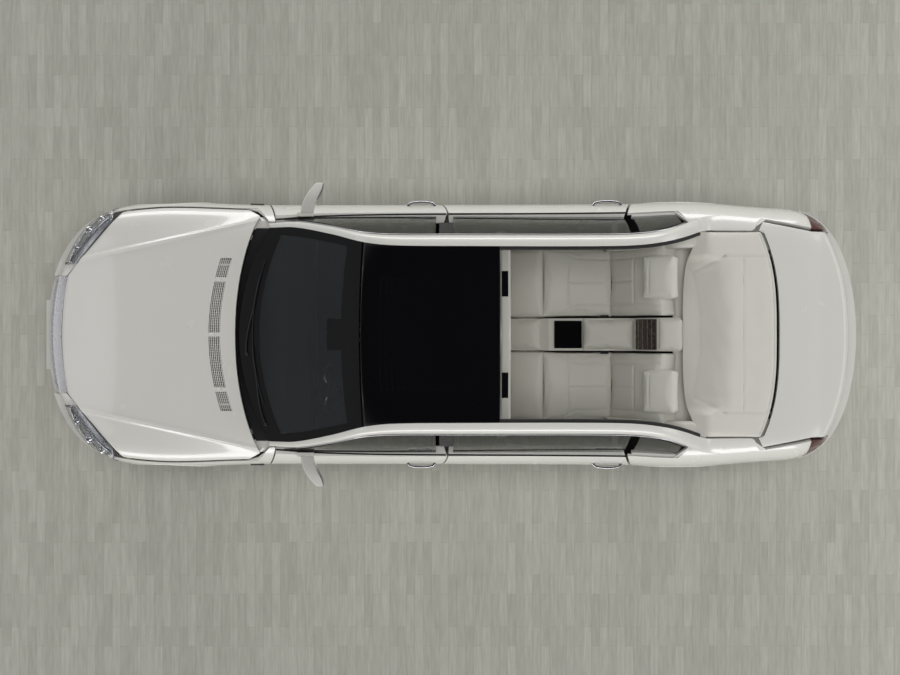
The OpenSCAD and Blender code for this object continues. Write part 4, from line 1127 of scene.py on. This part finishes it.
cover = grid_on("top_cover_leather", 68, 108, cover_surface)
thicken(cover, 28)
roll_edges(cover, 9, 3)
swell(cover, 7, 2.0)
points = coords(cover) / MM
x, y = points[:, 0], points[:, 1]
slope = np.exp(-((x - rear_axle_x - 170) / 130) ** 2) * (np.abs(y) < 600)
flat_part = np.exp(-((x - rear_axle_x - 470) / 90) ** 2)
points[:, 2] += slope * 4.0 * np.sin(y / 47 + 1.7 * np.sin(x / 61)) * np.sin(x / 34 + 1.3 * np.sin(y / 120))
points[:, 2] += flat_part * 2.2 * np.sin(x / 24 + 2.0 * np.sin(y / 150)) * np.sin(y / 210 + 0.6)
set_coords(cover, points * MM)
rear_bow = [(lerp(boot_x - 34, rear_axle_x + 430, abs(y / 790) ** 3), y) for y in np.linspace(-715, 715, 25)]
sew(cover, [[(rear_axle_x + 80, 556), (rear_axle_x + 520, 556)], [(rear_axle_x + 80, -556), (rear_axle_x + 520, -556)],
            [(slope_end + 50, -556), (slope_end + 50, 556)], rear_bow], 6, 7)
folds = [[(valley(y), y) for y in np.linspace(-549, 549, 41)]]
folds += [[(rear_axle_x + 9, s * 452), (rear_axle_x + 224, s * 563)] for s in (-1, 1)]
sew(cover, folds, 9, 8)
smooth(cover, 60)
paint(cover, leather)
mount(cover, "root", "leather", "top_cover")
print("Cover", len(cover.data.polygons), "faces")

# %% [markdown]
# ## Side trims and header
# Leather panels close the space between the seats and the rails, rising to the cover's wings. The cross member over the
# partition is trimmed in a darker copy of the same leather, as painted shade, and carries two small black panels of
# controls, left blank.

# %% Side trims
trim_in, trim_out = 634.0, 745.0


def trim_surface(u, v):
    x = lerp(1180, 1846, u)
    top = lerp(770, 1086, ease((x - 1180) / 540))
    wide = trim_out - trim_in
    if v < 0.4:
        return x, trim_in + 4 * v, lerp(600, top - 30, v / 0.4)
    k = (v - 0.4) / 0.6
    turn = min(1, k * 2.2)
    return x, trim_in + 26 * (1 - math.cos(turn * math.pi / 2)) + (wide - 26) * max(0, k - 0.4545) / 0.5455, \
        top - 30 + 30 * math.sin(turn * math.pi / 2)


trim = grid_on("trim", 60, 34, trim_surface, turned=True)
thicken(trim, 12)
smooth(trim, 60)
trims = both_sides("side_trims", trim)
paint(trims, leather)
mount(trims, "root", "leather")
shelf = block("seat_shelf", (1640, -650, 900), (1800, 650, 925), 8)
dress(shelf, leather, "root", "leather")


# %% Header over the partition
part_x = door_b + 410


def along_profile(profile, share):
    """Point of a bent line of x and z, at a share of its corners."""
    place = share * (len(profile) - 1)
    i = min(int(place), len(profile) - 2)
    (x1, z1), (x2, z2) = profile[i], profile[i + 1]
    return lerp(x1, x2, place - i), lerp(z1, z2, place - i)


def header_top(y):
    return station(RAIL, part_x, 2) + 4 - 46 * (abs(y) / station(RAIL, part_x, 1)) ** 1.6


def header_surface(u, v):
    y = lerp(-station(RAIL, part_x, 1) + 4, station(RAIL, part_x, 1) - 4, u)
    z = header_top(y)
    profile = [(-3, z - 40), (-3, z - 12), (8, z), (56, z), (69, z - 14), (69, 1452)]
    x, z = along_profile(profile, v)
    return part_x + x, y, z


header = grid_on("header", 60, 25, header_surface, turned=True)
thicken(header, 3)
roll_edges(header, 1, 2, 60)
smooth(header, 70)
# The header takes the darker copy of the leather, which paints shade on it.
dress(header, header_painted_shade_leather, "root", "leather")
panels = []
for y1 in (258, -432):
    panel = grid_on("panel", 6, 24, lambda u, v: (part_x + lerp(8, 52, u), lerp(y1, y1 + 174, v),
                                                  header_top(lerp(y1, y1 + 174, v)) + 4))
    thicken(panel, 6)
    panels.append(panel)
panels = joined("header_panels", *panels)
roll_edges(panels, 1.5, 2)
smooth(panels)
dress(panels, black_paint, "root", "black_paint")
buckles = [block("buckle", (1150, s * 132 - 14, 596), (1212, s * 132 + 14, 622), 5) for s in (-1, 1)]
buckles = joined("belt_buckles", *buckles)
dress(buckles, black_trim, "root", "trim")

# %% [markdown]
# ## Front cabin
# Under the roof the driver sits on the left. Seen through the screen are a dark leather dashboard with a wooden band,
# the steering wheel and two ivory seats. The seats are stuffed pads like those in the rear; the wheel is a torus,
# turned to the column's tilt and laid in place.

# %% Front seats
front_seat_y = 420
front_seams = [[(-200, 150), (200, 150)], [(-200, -150), (200, -150)]]
front_pads = [
    pad("front_cushion", (470, 516, 140), front_seams, laid_on((-440, 478), (26, 456), front_seat_y), voxel=22),
    pad("front_back", (500, 500, 140), front_seams, laid_on((52, 470), (222, 862), front_seat_y), voxel=22),
    pad("front_headrest", (180, 288, 90), [], laid_on((252, 892), (284, 1066), front_seat_y), voxel=15, cap=12),
]
both_seats(front_pads, 0.85, "front_seats")
bases = joined("seat_bases", *[block("base", (-368, y - 200, 252.5), (-8, y + 200, 400), 12)
                               for y in (-front_seat_y, front_seat_y)])
dress(bases, black_trim, "root", "trim", "front_seats")


# %% Dashboard
def placed(name, place, turn, build):
    """Primitive made at the origin, turned and moved into the car, with its place kept in the mesh."""
    clear_selection()
    build()
    piece = bpy.context.object
    piece.name = name
    piece.rotation_euler = turn
    piece.location = Vector(place) * MM
    bpy.ops.object.transform_apply(location=True, rotation=True, scale=True)
    return piece


wheel_y = -409


def dash_surface(u, v):
    """Padded top and face of the dashboard, from the screen over the brow down to the knees."""
    y = lerp(-712, 712, u)
    profile = [(34, 963), (152, 954), (292, 885), (322, 850), (351, 800), (336, 700), (333, 640)]
    x, z = along_profile(profile, v)
    hood = math.exp(-((y - wheel_y) / 150) ** 4) * math.exp(-((v - 0.42) / 0.16) ** 2)
    return door_a + x + 26 * hood, y, z + 44 * hood


dash = grid_on("dash_pad", 90, 36, dash_surface, turned=True)
thicken(dash, 6, offset=1)
smooth(dash, 80)
dress(dash, dark_leather, "root", "leather")
band = grid_on("dash_wood", 80, 4, lambda u, v: (door_a + lerp(356, 342, v), lerp(-700, 700, u), lerp(786, 714, v)),
               turned=True)
thicken(band, 5, offset=1)
roll_edges(band, 1.5)
smooth(band)
dress(band, dark_wood, "root", "wood")
vents = [block("vent", (door_a + 352, y - 52, 728), (door_a + 364, y + 52, 772), 6) for y in (-640, -160, 160, 640)]
vents = joined("dash_vents", *vents)
dress(vents, chrome, "root", "chrome")
tunnel = block("front_console", (door_a + 345, -112, 400.5), (part_x - 20, 112, 545), 14, 4)
dress(tunnel, dark_leather, "root", "leather")
lid = block("front_console_wood", (door_a + 380, -84, 545), (door_a + 800, 84, 551), 3)
dress(lid, dark_wood, "root", "wood")

# %% Steering wheel
tilt = math.radians(68)
axis = Vector((math.sin(tilt), 0, math.cos(tilt)))
hub_at = Vector((door_a + 300, wheel_y, 800)) + axis * 150.3
parts = [placed("wheel_rim", hub_at + axis * 40, (0, tilt, 0), lambda: bpy.ops.mesh.primitive_torus_add(
    major_radius=0.177, minor_radius=0.015, major_segments=96, minor_segments=20))]
for angle in (0, 130, 230):
    spoke = block("spoke", (44, -15, 27), (168, 15, 41), 5)
    spoke.rotation_euler = (0, 0, math.radians(angle))
    pick(spoke)
    bpy.ops.object.transform_apply(location=True, rotation=True, scale=True)
    spoke.rotation_euler = (0, tilt, 0)
    spoke.location = hub_at * MM
    bpy.ops.object.transform_apply(location=True, rotation=True, scale=True)
    parts.append(spoke)
hub = placed("hub", hub_at + axis * 26, (0, tilt, 0), lambda: bpy.ops.mesh.primitive_cylinder_add(
    vertices=48, radius=0.068, depth=0.05))
roll_edges(hub, 14, 4)
wheel = joined("steering_wheel_leather", parts[0], hub)
smooth(wheel, 50)
dress(wheel, dark_leather, "steering_wheel", "trim", "steering_wheel")
spokes = joined("steering_wheel_spokes", *parts[1:])
dress(spokes, alloy, "steering_wheel", "chrome", "steering_wheel")

# %% [markdown]
# ## Lamps and nose
# Each headlamp is a clear lens wrapped round the corner over a bright bowl with three
# projectors. The lens repeats the solid's front face, and the bowl is the same face drawn back, so the glass shows
# real depth. Painted nose panels fill the space between the lamps and the radiator.

# %% Headlamps
lamp_in_y = 522.0
lamp_x1 = upper_nose_x + 690 * (1 - (1 - (lamp_in_y / side_limit(upper_nose_x + 90)) ** 2) ** (1 / 3))


def lamp_point(u, v, t):
    xb = lerp(lamp_x1, wing_front_x - fixed_gap, u ** 1.2)
    yb = max(lamp_in_y, half_width(xb) - t * 0.6)
    yt = max(lamp_in_y, lerp(lamp_in_y + 6, wing_top_y(wing_front_x), u) - t * 0.5)
    xt = bonnet_front_x(yt) - shut_gap - 5
    zt = section_z(max(xt, upper_nose_x + 140), yt * 0.995)
    c = 1 - math.cos(math.pi / 2 * v)
    return (lerp(xb + t * (1 - u), min(xt, wing_front_x - fixed_gap), c), lerp(yb, yt, c),
            lerp(bumper_top_front + 2.3, zt - t * 0.3, math.sin(math.pi / 2 * v)))


def inner_point(u, v, t):
    return lamp_point(lerp(0.03, 0.97, u), lerp(0.03, 0.96, v), t)


lens = grid_on("lens", 44, 26, lambda u, v: lamp_point(u, v, 0), turned=True)
thicken(lens, 4)
roll_edges(lens, 1)
smooth(lens)
lens = both_sides("headlamp_lenses", lens)
dress(lens, lens_glass, "root", "lamp_lens", "headlamps")
bowl = grid_on("bowl", 44, 26, lambda u, v: lamp_point(u, v, 46), turned=True)
thicken(bowl, 3)
smooth(bowl)
bowls = both_sides("headlamp_bowls", bowl)
dress(bowls, lamp_bowl, "root", "chrome", "headlamps")
inside = []
for u, v, r in ((0.22, 0.46, 40), (0.50, 0.48, 38), (0.76, 0.50, 32)):
    place = lamp_point(u, v, 58)
    ring = placed("ring", place, (0, math.radians(62), 0), lambda: bpy.ops.mesh.primitive_torus_add(
        major_radius=r * MM, minor_radius=0.007, major_segments=40, minor_segments=10))
    eye = placed("eye", place, (0, 0, 0), lambda: bpy.ops.mesh.primitive_uv_sphere_add(segments=28, ring_count=16,
                                                                                     radius=(r - 8) * MM))
    inside += [ring, eye]
for v in (0.16, 0.80):
    inside.append(rod("bar", [inner_point(i / 20, v, 18) for i in range(21)], 7, 3))
inside = joined("projectors", *inside)
smooth(inside, 60)
inside = both_sides("headlamp_projectors", inside)
dress(inside, chrome, "root", "chrome", "headlamps")


# %% Nose panels, radiator and tail lamps
def nose_surface(u, v):
    y = lerp(grille_w / 2 + fixed_gap, lamp_in_y - fixed_gap, u)
    xb = upper_nose_x + 690 * (1 - (1 - (y / side_limit(upper_nose_x + 90)) ** 2) ** (1 / 3))
    zt = section_z(upper_nose_x + 140, y * 0.995)
    return (lerp(xb, bonnet_front_x(y) - shut_gap, 1 - math.cos(math.pi / 2 * v)), y,
            lerp(bumper_top_front + fixed_gap, zt, math.sin(math.pi / 2 * v)))


nose = skin("nose", 12, 26, nose_surface, turned=True)
roll_edges(nose, skin_edge)
smooth(nose)
noses = both_sides("nose_panels", nose)
dress(noses, white_paint, "root", "white_paint")
grille = cad_copy("grille", "grille_chrome")
roll_edges(grille, 2.5, 3, 40)
smooth(grille, 40)
paint(grille, chrome, sheen_painted_chrome)
# Faces that look up take the pale chrome, which paints a bright reflection on them.
for face in grille.data.polygons:
    if face.normal.z > 0.3:
        face.material_index = 1
mount(grille, "root", "chrome", "grille")


def tail_point(u, v, out):
    x = lerp(quarter_end_x + fixed_gap, upper_tail_x - 165, u)
    wide = max(half_width(x), 766)
    top = math.acos(min(1, 764 / wide) ** (shoulder_power / 2))
    a0 = math.asin((bumper_top_rear + fixed_gap - waist_z) / (crown(x) - waist_z))
    a = lerp(a0, max(a0 + math.radians(4), top), v)
    return (x, wide * math.cos(a) ** (2 / shoulder_power) + out * math.cos(a),
            waist_z + (crown(x) - waist_z) * math.sin(a) + out * math.sin(a))


tail = skin("tail", 26, 26, lambda u, v: tail_point(u, v, 0), turned=True)
roll_edges(tail, skin_edge)
smooth(tail)
ribs = [rod("rib", [tail_point(i / 12, v, 2) for i in range(13)], 3, 2) for v in (0.2, 0.4, 0.6, 0.8)]
tails = both_sides("tail_lamp_lenses", joined("tail", tail, *ribs))
dress(tails, red_lens, "root", "tail_lens")

# %% [markdown]
# ## Bonnet vent and washers
# White slats run across the bonnet on the vent's curve, with fine cross bars over a black well. Three painted bridges
# carry the washer nozzles.

# %% Vent
slats = cad_copy("bonnet_vent", "vent_slats")
roll_edges(slats, 1, 2, 40)
smooth(slats, 40)
well = grid_on("well", 4, 60, lambda u, v: (vent_line(lerp(-548, 548, v), lerp(-0.97, 0.97, u)), lerp(-548, 548, v),
                                            bonnet_z(vent_line(lerp(-548, 548, v), 0), lerp(-548, 548, v)) - 30))
thicken(well, 2)
bars = []
for i in range(89):
    y = lerp(-536, 536, i / 88)
    x = vent_line(y, 0)
    bars.append(block("bar", (x - 40, y - 1.5, bonnet_z(x, y) - 12), (x + 40, y + 1.5, bonnet_z(x, y) - 6), 0.4, 1))
slats = joined("vent_slats", slats, *bars)
dress(slats, white_paint, "bonnet", "trim", "bonnet_vent")
paint(well, black_trim)
well.name = "vent_well"
mount(well, "bonnet", "trim")
bridges, nozzles = [], []
for y0 in (-397, 0, 397):
    def bridge(u, v):
        y = y0 + lerp(-15, 15, v)
        x = vent_line(y, lerp(-1, 1, u))
        return x, y, bonnet_z(x, y) + 1.2
    piece = grid_on("bridge", 12, 4, bridge)
    thicken(piece, 5)
    bridges.append(piece)
    x = vent_line(y0, -0.35)
    nozzles.append(block("nozzle", (x - 16, y0 - 12, bonnet_z(x, y0)), (x + 16, y0 + 12, bonnet_z(x, y0) + 11), 4))
bridges = joined("vent_bridges", *bridges)
roll_edges(bridges, 1)
smooth(bridges)
dress(bridges, white_paint, "bonnet", "white_paint")
nozzles = joined("washer_nozzles", *nozzles)
dress(nozzles, white_paint, "bonnet", "trim")

# %% [markdown]
# ## Wheels
# A tyre is one profile swept round the axle: bead, bulged wall, shoulder and tread. The tread has four grooves round
# it and short cuts across its shoulders. A grid whose columns go round and whose rows follow the profile gives both at
# once, and its seam is merged. The rim is the CAD's, with rolled edges, a cap and bolts.

# %% Tyres
tyre_r, tyre_half, bead_r = 378.5, 137.5, 241.5
ROUND = 120


def arc_points(cr, cw, r, a1, a2, count):
    angles = [math.radians(lerp(a1, a2, i / count)) for i in range(count + 1)]
    return [(cr + r * math.cos(a), cw + r * math.sin(a)) for a in angles]


def tyre_profile():
    """Half of the section from the middle of the tread to the bead, as radius, place across and tread mark."""
    points = []
    for across, depth in ((0, 0), (12, 0), (16, 0), (17, 8), (25, 8), (26, 0), (44, 0), (60, 0), (61, 8), (70, 8),
                          (71, 0)):
        points.append((tyre_r - depth, across, 0))
    points += [(r, w, 1) for r, w in arc_points(tyre_r - 34, tyre_half - 34, 34, 0, 60, 8)]
    points += [(r, w, 0) for r, w in arc_points(bead_r + 52, tyre_half - 62, 62, 62, 90, 7)]
    points += [(bead_r + 34, tyre_half - 1, 0), (bead_r + 30, tyre_half - 5, 0), (bead_r + 12, tyre_half - 7, 0),
               (bead_r + 2, tyre_half - 12, 0), (bead_r, tyre_half - 18, 0)]
    return points


def tyre_piece(name, x, track):
    half = tyre_profile()
    section = [(r, -w, m) for r, w, m in reversed(half[1:])] + half
    rows = len(section) - 1

    def surface(u, v):
        r, w, mark = section[round(v * rows)]
        column = round(u * ROUND)
        if mark and column % 6 == 0 and abs(w) > tyre_half - 40:
            r -= 4
        a = 2 * math.pi * column / ROUND
        return x + r * math.cos(a), track / 2 + w, axle_z + r * math.sin(a)
    piece = grid_on(name, ROUND, rows, surface)
    edit_all(lambda: bpy.ops.mesh.remove_doubles(threshold=0.00005),
             lambda: bpy.ops.mesh.normals_make_consistent(inside=False))
    thicken(piece, 9)
    smooth(piece, 32)
    paint(piece, tyre_rubber)
    return piece


# %% Rims
def rim_piece(node, x, track):
    piece = cad_copy(node, "rim_alloy")
    roll_edges(piece, 2.5, 2, 40)
    smooth(piece, 40)
    paint(piece, alloy, bare_steel)
    for face in piece.data.polygons:
        at = face.center / MM
        reach = math.hypot(at.x - x, at.z - axle_z)
        if at.y - track / 2 < 70 and reach < 196:
            face.material_index = 1
    return piece


def rim_trim(x, track):
    """Centre cap, five bolts and a polished lip."""
    face = track / 2 + 119.5
    cap = placed("cap", (x, face - 4, axle_z), (math.pi / 2, 0, 0), lambda: bpy.ops.mesh.primitive_cylinder_add(
        vertices=48, radius=0.072, depth=0.02))
    roll_edges(cap, 8, 4)
    lip = placed("lip", (x, face + 1, axle_z), (math.pi / 2, 0, 0), lambda: bpy.ops.mesh.primitive_torus_add(
        major_radius=0.2365, minor_radius=0.005, major_segments=96, minor_segments=10))
    bolts = []
    for i in range(5):
        a = 2 * math.pi * i / 5
        bolt = placed("bolt", (x + 83 * math.cos(a), face - 3, axle_z + 83 * math.sin(a)), (math.pi / 2, 0, 0),
                       lambda: bpy.ops.mesh.primitive_cylinder_add(vertices=6, radius=0.009, depth=0.016))
        roll_edges(bolt, 1.5)
        bolts.append(bolt)
    piece = joined("rim_trim", cap, lip, *bolts)
    smooth(piece, 40)
    paint(piece, chrome)
    return piece


for axle, x, track in (("front", front_axle_x, 1675.0), ("rear", rear_axle_x, 1695.0)):
    for part, slot, node in ((tyre_piece("tyre_rubber", x, track), "tyre", "tyre_"),
                             (rim_piece("rim_" + axle + "_right", x, track), "rim", "rim_"),
                             (rim_trim(x, track), "chrome", None)):
        label = part.name.split(".")[0]
        other = mirrored(part, label + "_" + axle + "_left")
        part.name = label + "_" + axle + "_right"
        for half, side in ((part, "right"), (other, "left")):
            mount(half, "wheel_" + axle + "_" + side, slot, *([node + axle + "_" + side] if node else []))
    print(axle, "tyre", len(part.data.polygons))

# %% [markdown]
# ## Mirrors, wipers and small trim
# The mirrors are rounded shells on a foot, dark on the side that faces back. The wiper arms lie along the foot of the
# screen, so they are rods laid on the screen's own surface, far enough up for the bonnet to swing clear. Two slim dark
# gills sit on each wing behind the wheel.

# %% Mirrors
for side in ("right", "left"):
    shell = cad_copy("mirror_" + side, "mirror_shell_" + side)
    roll_edges(shell, 9, 3, 35)
    apply_modifier(shell, "SMOOTH", factor=0.5, iterations=4)
    smooth(shell, 60)
    paint(shell, white_paint, black_paint)
    for face in shell.data.polygons:
        if face.normal.x > 0.6 and abs(face.center.y) > 0.93:
            face.material_index = 1
    mount(shell, "door_front_" + side, "white_paint", "mirror_" + side)

# %% Wipers
def on_screen(u, v, lift):
    x, y, z = screen_surface(u, v)
    return x - lift * 0.45, y, z + lift


arms, v1 = [], 0.09
for u1, u2 in ((0.30, 0.62), (0.63, 0.95)):
    blade = [on_screen(lerp(u1 - 0.12, u2 - 0.1, i / 30), v1 + 0.03, 5) for i in range(31)]
    arm = [on_screen(lerp(u1 - 0.22, lerp(u1, u2, 0.45), i / 20), lerp(v1 - 0.03, v1 + 0.03, ease(i / 14)), 8)
           for i in range(21)]
    pivot = on_screen(u1 - 0.22, v1 - 0.03, 3)
    arms += [rod("blade", blade, 4, 3), rod("arm", arm, 5.5, 3),
             block("pivot", [c - 11 for c in pivot], [c + 11 for c in pivot], 5)]
arms = joined("wiper_arms", *arms)
dress(arms, black_trim, "root", "trim", "wipers")


# %% Cowl panel and gills
def cowl_surface(u, v):
    y = lerp(-770, 770, v)
    x1 = bonnet_rear_x(y) + 14
    x2, _, z2 = screen_surface(0.5 + 0.5 * y / 771, 0.02)
    x2 = max(x2, x1 + 6)
    z1 = bonnet_z(min(x1, door_a - 60), y) - 22
    return lerp(x1, x2, u), y, lerp(z1, min(z2, z1 + 12) - 9, u) - 3 * (round(u * 24) % 2)


panel = grid_on("cowl_panel", 24, 120, cowl_surface)
thicken(panel, 3)
smooth(panel, 40)
dress(panel, black_trim, "root", "trim")


def corner_surface(u, v):
    """Painted tray behind the bonnet's corner, low enough for the bonnet to swing over it."""
    x, y = lerp(-1440, door_a + 66, u), lerp(764, 858, v)
    return x, y, section_z(x, y) - 62


corner = grid_on("corner", 16, 10, corner_surface)
thicken(corner, 3)
smooth(corner)
corners = both_sides("scuttle_corners", corner)
dress(corners, white_paint, "root", "white_paint")
gill_line = [(lerp(-1472, -1374, i / 12), side_y(lerp(-1472, -1374, i / 12), 760) + 2, 760) for i in range(13)]
gill = both_sides("wing_gills", joined("gill", rod("a", gill_line, 9, 3),
                                       rod("b", [(x, y, z - 26) for x, y, z in gill_line], 9, 3)))
dress(gill, black_trim, "root", "trim")
sill_line = [(lerp(door_a - 40, rear_axle_x - arch_r - 40, i / 40), 0, 236) for i in range(41)]
sill = rod("sill", [(x, side_y(x, 236) - 2, z) for x, _, z in sill_line], 9, 3)
sills = both_sides("sill_strips", sill)
dress(sills, chrome, "root", "chrome")
front_plate = block("plate", (nose_x - 2, -258, 388), (nose_x + 3, 258, 492), 2)


def rear_plate_surface(u, v):
    s = math.copysign(abs(lerp(-0.19, 0.19, u)), u - 0.5)
    _, _, low, top = rear_wrap
    x, y, z = bumper_surface(*rear_wrap)(0.5 + s / 2, (lerp(506, 602, v) - low) / (top - low))
    return x + 2, y, z


rear_plate = grid_on("plate", 40, 6, rear_plate_surface)
thicken(rear_plate, 3, offset=0)
plates = joined("blank_plates", front_plate, rear_plate)
dress(plates, plate_white, "root", "white_paint")
tips = []
for s in (-1, 1):
    tip = placed("tip", (2932, s * 250, 170), (0, math.pi / 2, 0), lambda: bpy.ops.mesh.primitive_cylinder_add(
        vertices=48, radius=0.047, depth=0.11, end_fill_type="NOTHING"))
    thicken(tip, 3, offset=1)
    tips.append(tip)
tips = joined("exhaust_tips", *tips)
smooth(tips, 40)
dress(tips, chrome, "root", "chrome")

# %% [markdown]
# ## Finishes of the remaining solids
# Every solid that still shows gets its own finish: under-body coating, cast metal, steel, leather. The panels under
# the skins are painted like the skins, so their edges match when a door or a lid stands open.

# %% CAD finishes
PAINTED = ("front_wings", "rear_quarters", "front_bumper", "rear_bumper", "bonnet", "boot_lid",
           "door_front_left", "door_front_right", "door_rear_left", "door_rear_right")
LOOKS = {"floor_pan": under_coat, "cowl": black_trim, "engine": cast_metal, "exhaust": bare_steel,
         "front_subframe": under_coat, "rear_axle": cast_metal, "wheel_houses": black_trim,
         "knuckle_left": cast_metal, "knuckle_right": cast_metal,
         "partition": leather, "partition_glass": clear_glass, "dashboard": dark_leather, "tail_lamps": red_lens}
for node in PAINTED:
    paint(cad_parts[node], white_paint)
for node, look in LOOKS.items():
    paint(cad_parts[node], look)
print("Finished", len(PAINTED) + len(LOOKS), "solids")

# %% [markdown]
# ## Floor, light and camera
# The car stands on a pale floor of short planks under broad soft lights, and the camera looks straight down from high
# above, as in a studio with an overhead gantry. The lens and the height give the photograph's perspective. The planks
# are a brick pattern turned a quarter, each with its own tone, under fine streaks along the wood.

# %% Stage
def floor_finish():
    material = bpy.data.materials.new("pale_planks")
    material.use_nodes = True
    nodes, link = material.node_tree.nodes, material.node_tree.links.new
    shader = nodes["Principled BSDF"]
    place = nodes.new("ShaderNodeTexCoord")
    turned = nodes.new("ShaderNodeMapping")
    turned.inputs["Rotation"].default_value = (0, 0, math.pi / 2)
    planks = nodes.new("ShaderNodeTexBrick")
    planks.offset, planks.squash = 0.37, 1.0
    for key, value in (("Scale", 1.0), ("Brick Width", 0.42), ("Row Height", 0.068), ("Mortar Size", 0.0016),
                       ("Mortar Smooth", 0.6), ("Bias", 0.0)):
        planks.inputs[key].default_value = value
    planks.inputs["Color1"].default_value = (0.485, 0.48, 0.42, 1)
    planks.inputs["Color2"].default_value = (0.565, 0.56, 0.495, 1)
    planks.inputs["Mortar"].default_value = (0.40, 0.395, 0.34, 1)
    streak = nodes.new("ShaderNodeMapping")
    streak.inputs["Scale"].default_value = (26, 2.4, 1)
    noise = nodes.new("ShaderNodeTexNoise")
    noise.inputs["Scale"].default_value = 2.0
    noise.inputs["Detail"].default_value = 6
    ramp = nodes.new("ShaderNodeValToRGB")
    ramp.color_ramp.elements[0].position, ramp.color_ramp.elements[1].position = 0.28, 0.74
    ramp.color_ramp.elements[0].color = (0.80, 0.80, 0.79, 1)
    ramp.color_ramp.elements[1].color = (1.0, 1.0, 1.0, 1)
    tone = nodes.new("ShaderNodeMix")
    tone.data_type, tone.blend_type = "RGBA", "MULTIPLY"
    tone.inputs["Factor"].default_value = 1.0
    link(place.outputs["Object"], turned.inputs["Vector"])
    link(turned.outputs["Vector"], planks.inputs["Vector"])
    link(place.outputs["Object"], streak.inputs["Vector"])
    link(streak.outputs["Vector"], noise.inputs["Vector"])
    link(noise.outputs["Fac"], ramp.inputs["Fac"])
    link(planks.outputs["Color"], tone.inputs["A"])
    link(ramp.outputs["Color"], tone.inputs["B"])
    link(tone.outputs["Result"], shader.inputs["Base Color"])
    shader.inputs["Roughness"].default_value = 0.75
    return material


clear_selection()
bpy.ops.mesh.primitive_plane_add(size=60)
floor = bpy.context.object
floor.name = "studio_floor"
paint(floor, floor_finish())


def soft_light(name, place, size, power, turn=(0, 0, 0)):
    clear_selection()
    bpy.ops.object.light_add(type="AREA", location=place, rotation=turn)
    lamp = bpy.context.object
    lamp.name = name
    lamp.data.shape = "RECTANGLE"
    lamp.data.size, lamp.data.size_y = size
    lamp.data.energy = power
    return lamp


soft_light("side_left", (0, -21.0, 4.6), (30, 7.0), 3000, (math.radians(82), 0, 0))
soft_light("side_right", (0, 21.0, 4.6), (30, 7.0), 3000, (math.radians(-82), 0, 0))
soft_light("ceiling_front", (-7.5, 0, 6.5), (3.0, 8.0), 70, (0, math.radians(-45), 0))
soft_light("ceiling_rear", (8.0, 0, 3.5), (3.0, 8.0), 110, (0, math.radians(66), 0))
overhead = soft_light("overhead", (1.4, 0, 14.0), (9.0, 7.0), 720)
overhead.visible_glossy = False

# %% [markdown]
# The walls of the studio are pale and its ceiling over the camera is dark, so the black roof mirrors darkness while the
# sides of the body mirror light. The sky's strength falls from the horizon to the zenith.

# %% Studio walls
world = bpy.data.worlds.new("studio")
bpy.context.scene.world = world
world.use_nodes = True
nodes, link = world.node_tree.nodes, world.node_tree.links.new
place = nodes.new("ShaderNodeTexCoord")
split = nodes.new("ShaderNodeSeparateXYZ")
fall = nodes.new("ShaderNodeMapRange")
fall.interpolation_type = "SMOOTHSTEP"
for key, value in (("From Min", 0.30), ("From Max", 0.86), ("To Min", 0.44), ("To Max", 0.012)):
    fall.inputs[key].default_value = value
link(place.outputs["Generated"], split.inputs["Vector"])
link(split.outputs["Z"], fall.inputs["Value"])
link(fall.outputs["Result"], nodes["Background"].inputs["Strength"])
nodes["Background"].inputs["Color"].default_value = (0.96, 0.97, 1.0, 1)

# %% Camera
bpy.ops.object.camera_add(location=(0, 0, 9.545), rotation=(0, 0, 0))
camera = bpy.context.object
camera.data.sensor_width = 36
camera.data.lens = 1180 / 900 * 36
camera.data.shift_x, camera.data.shift_y = 1.5 / 900, -3.0 / 900
camera.data.clip_end = 200
bpy.context.scene.camera = camera

# %% Close
print(len(pieces_made), "pieces")
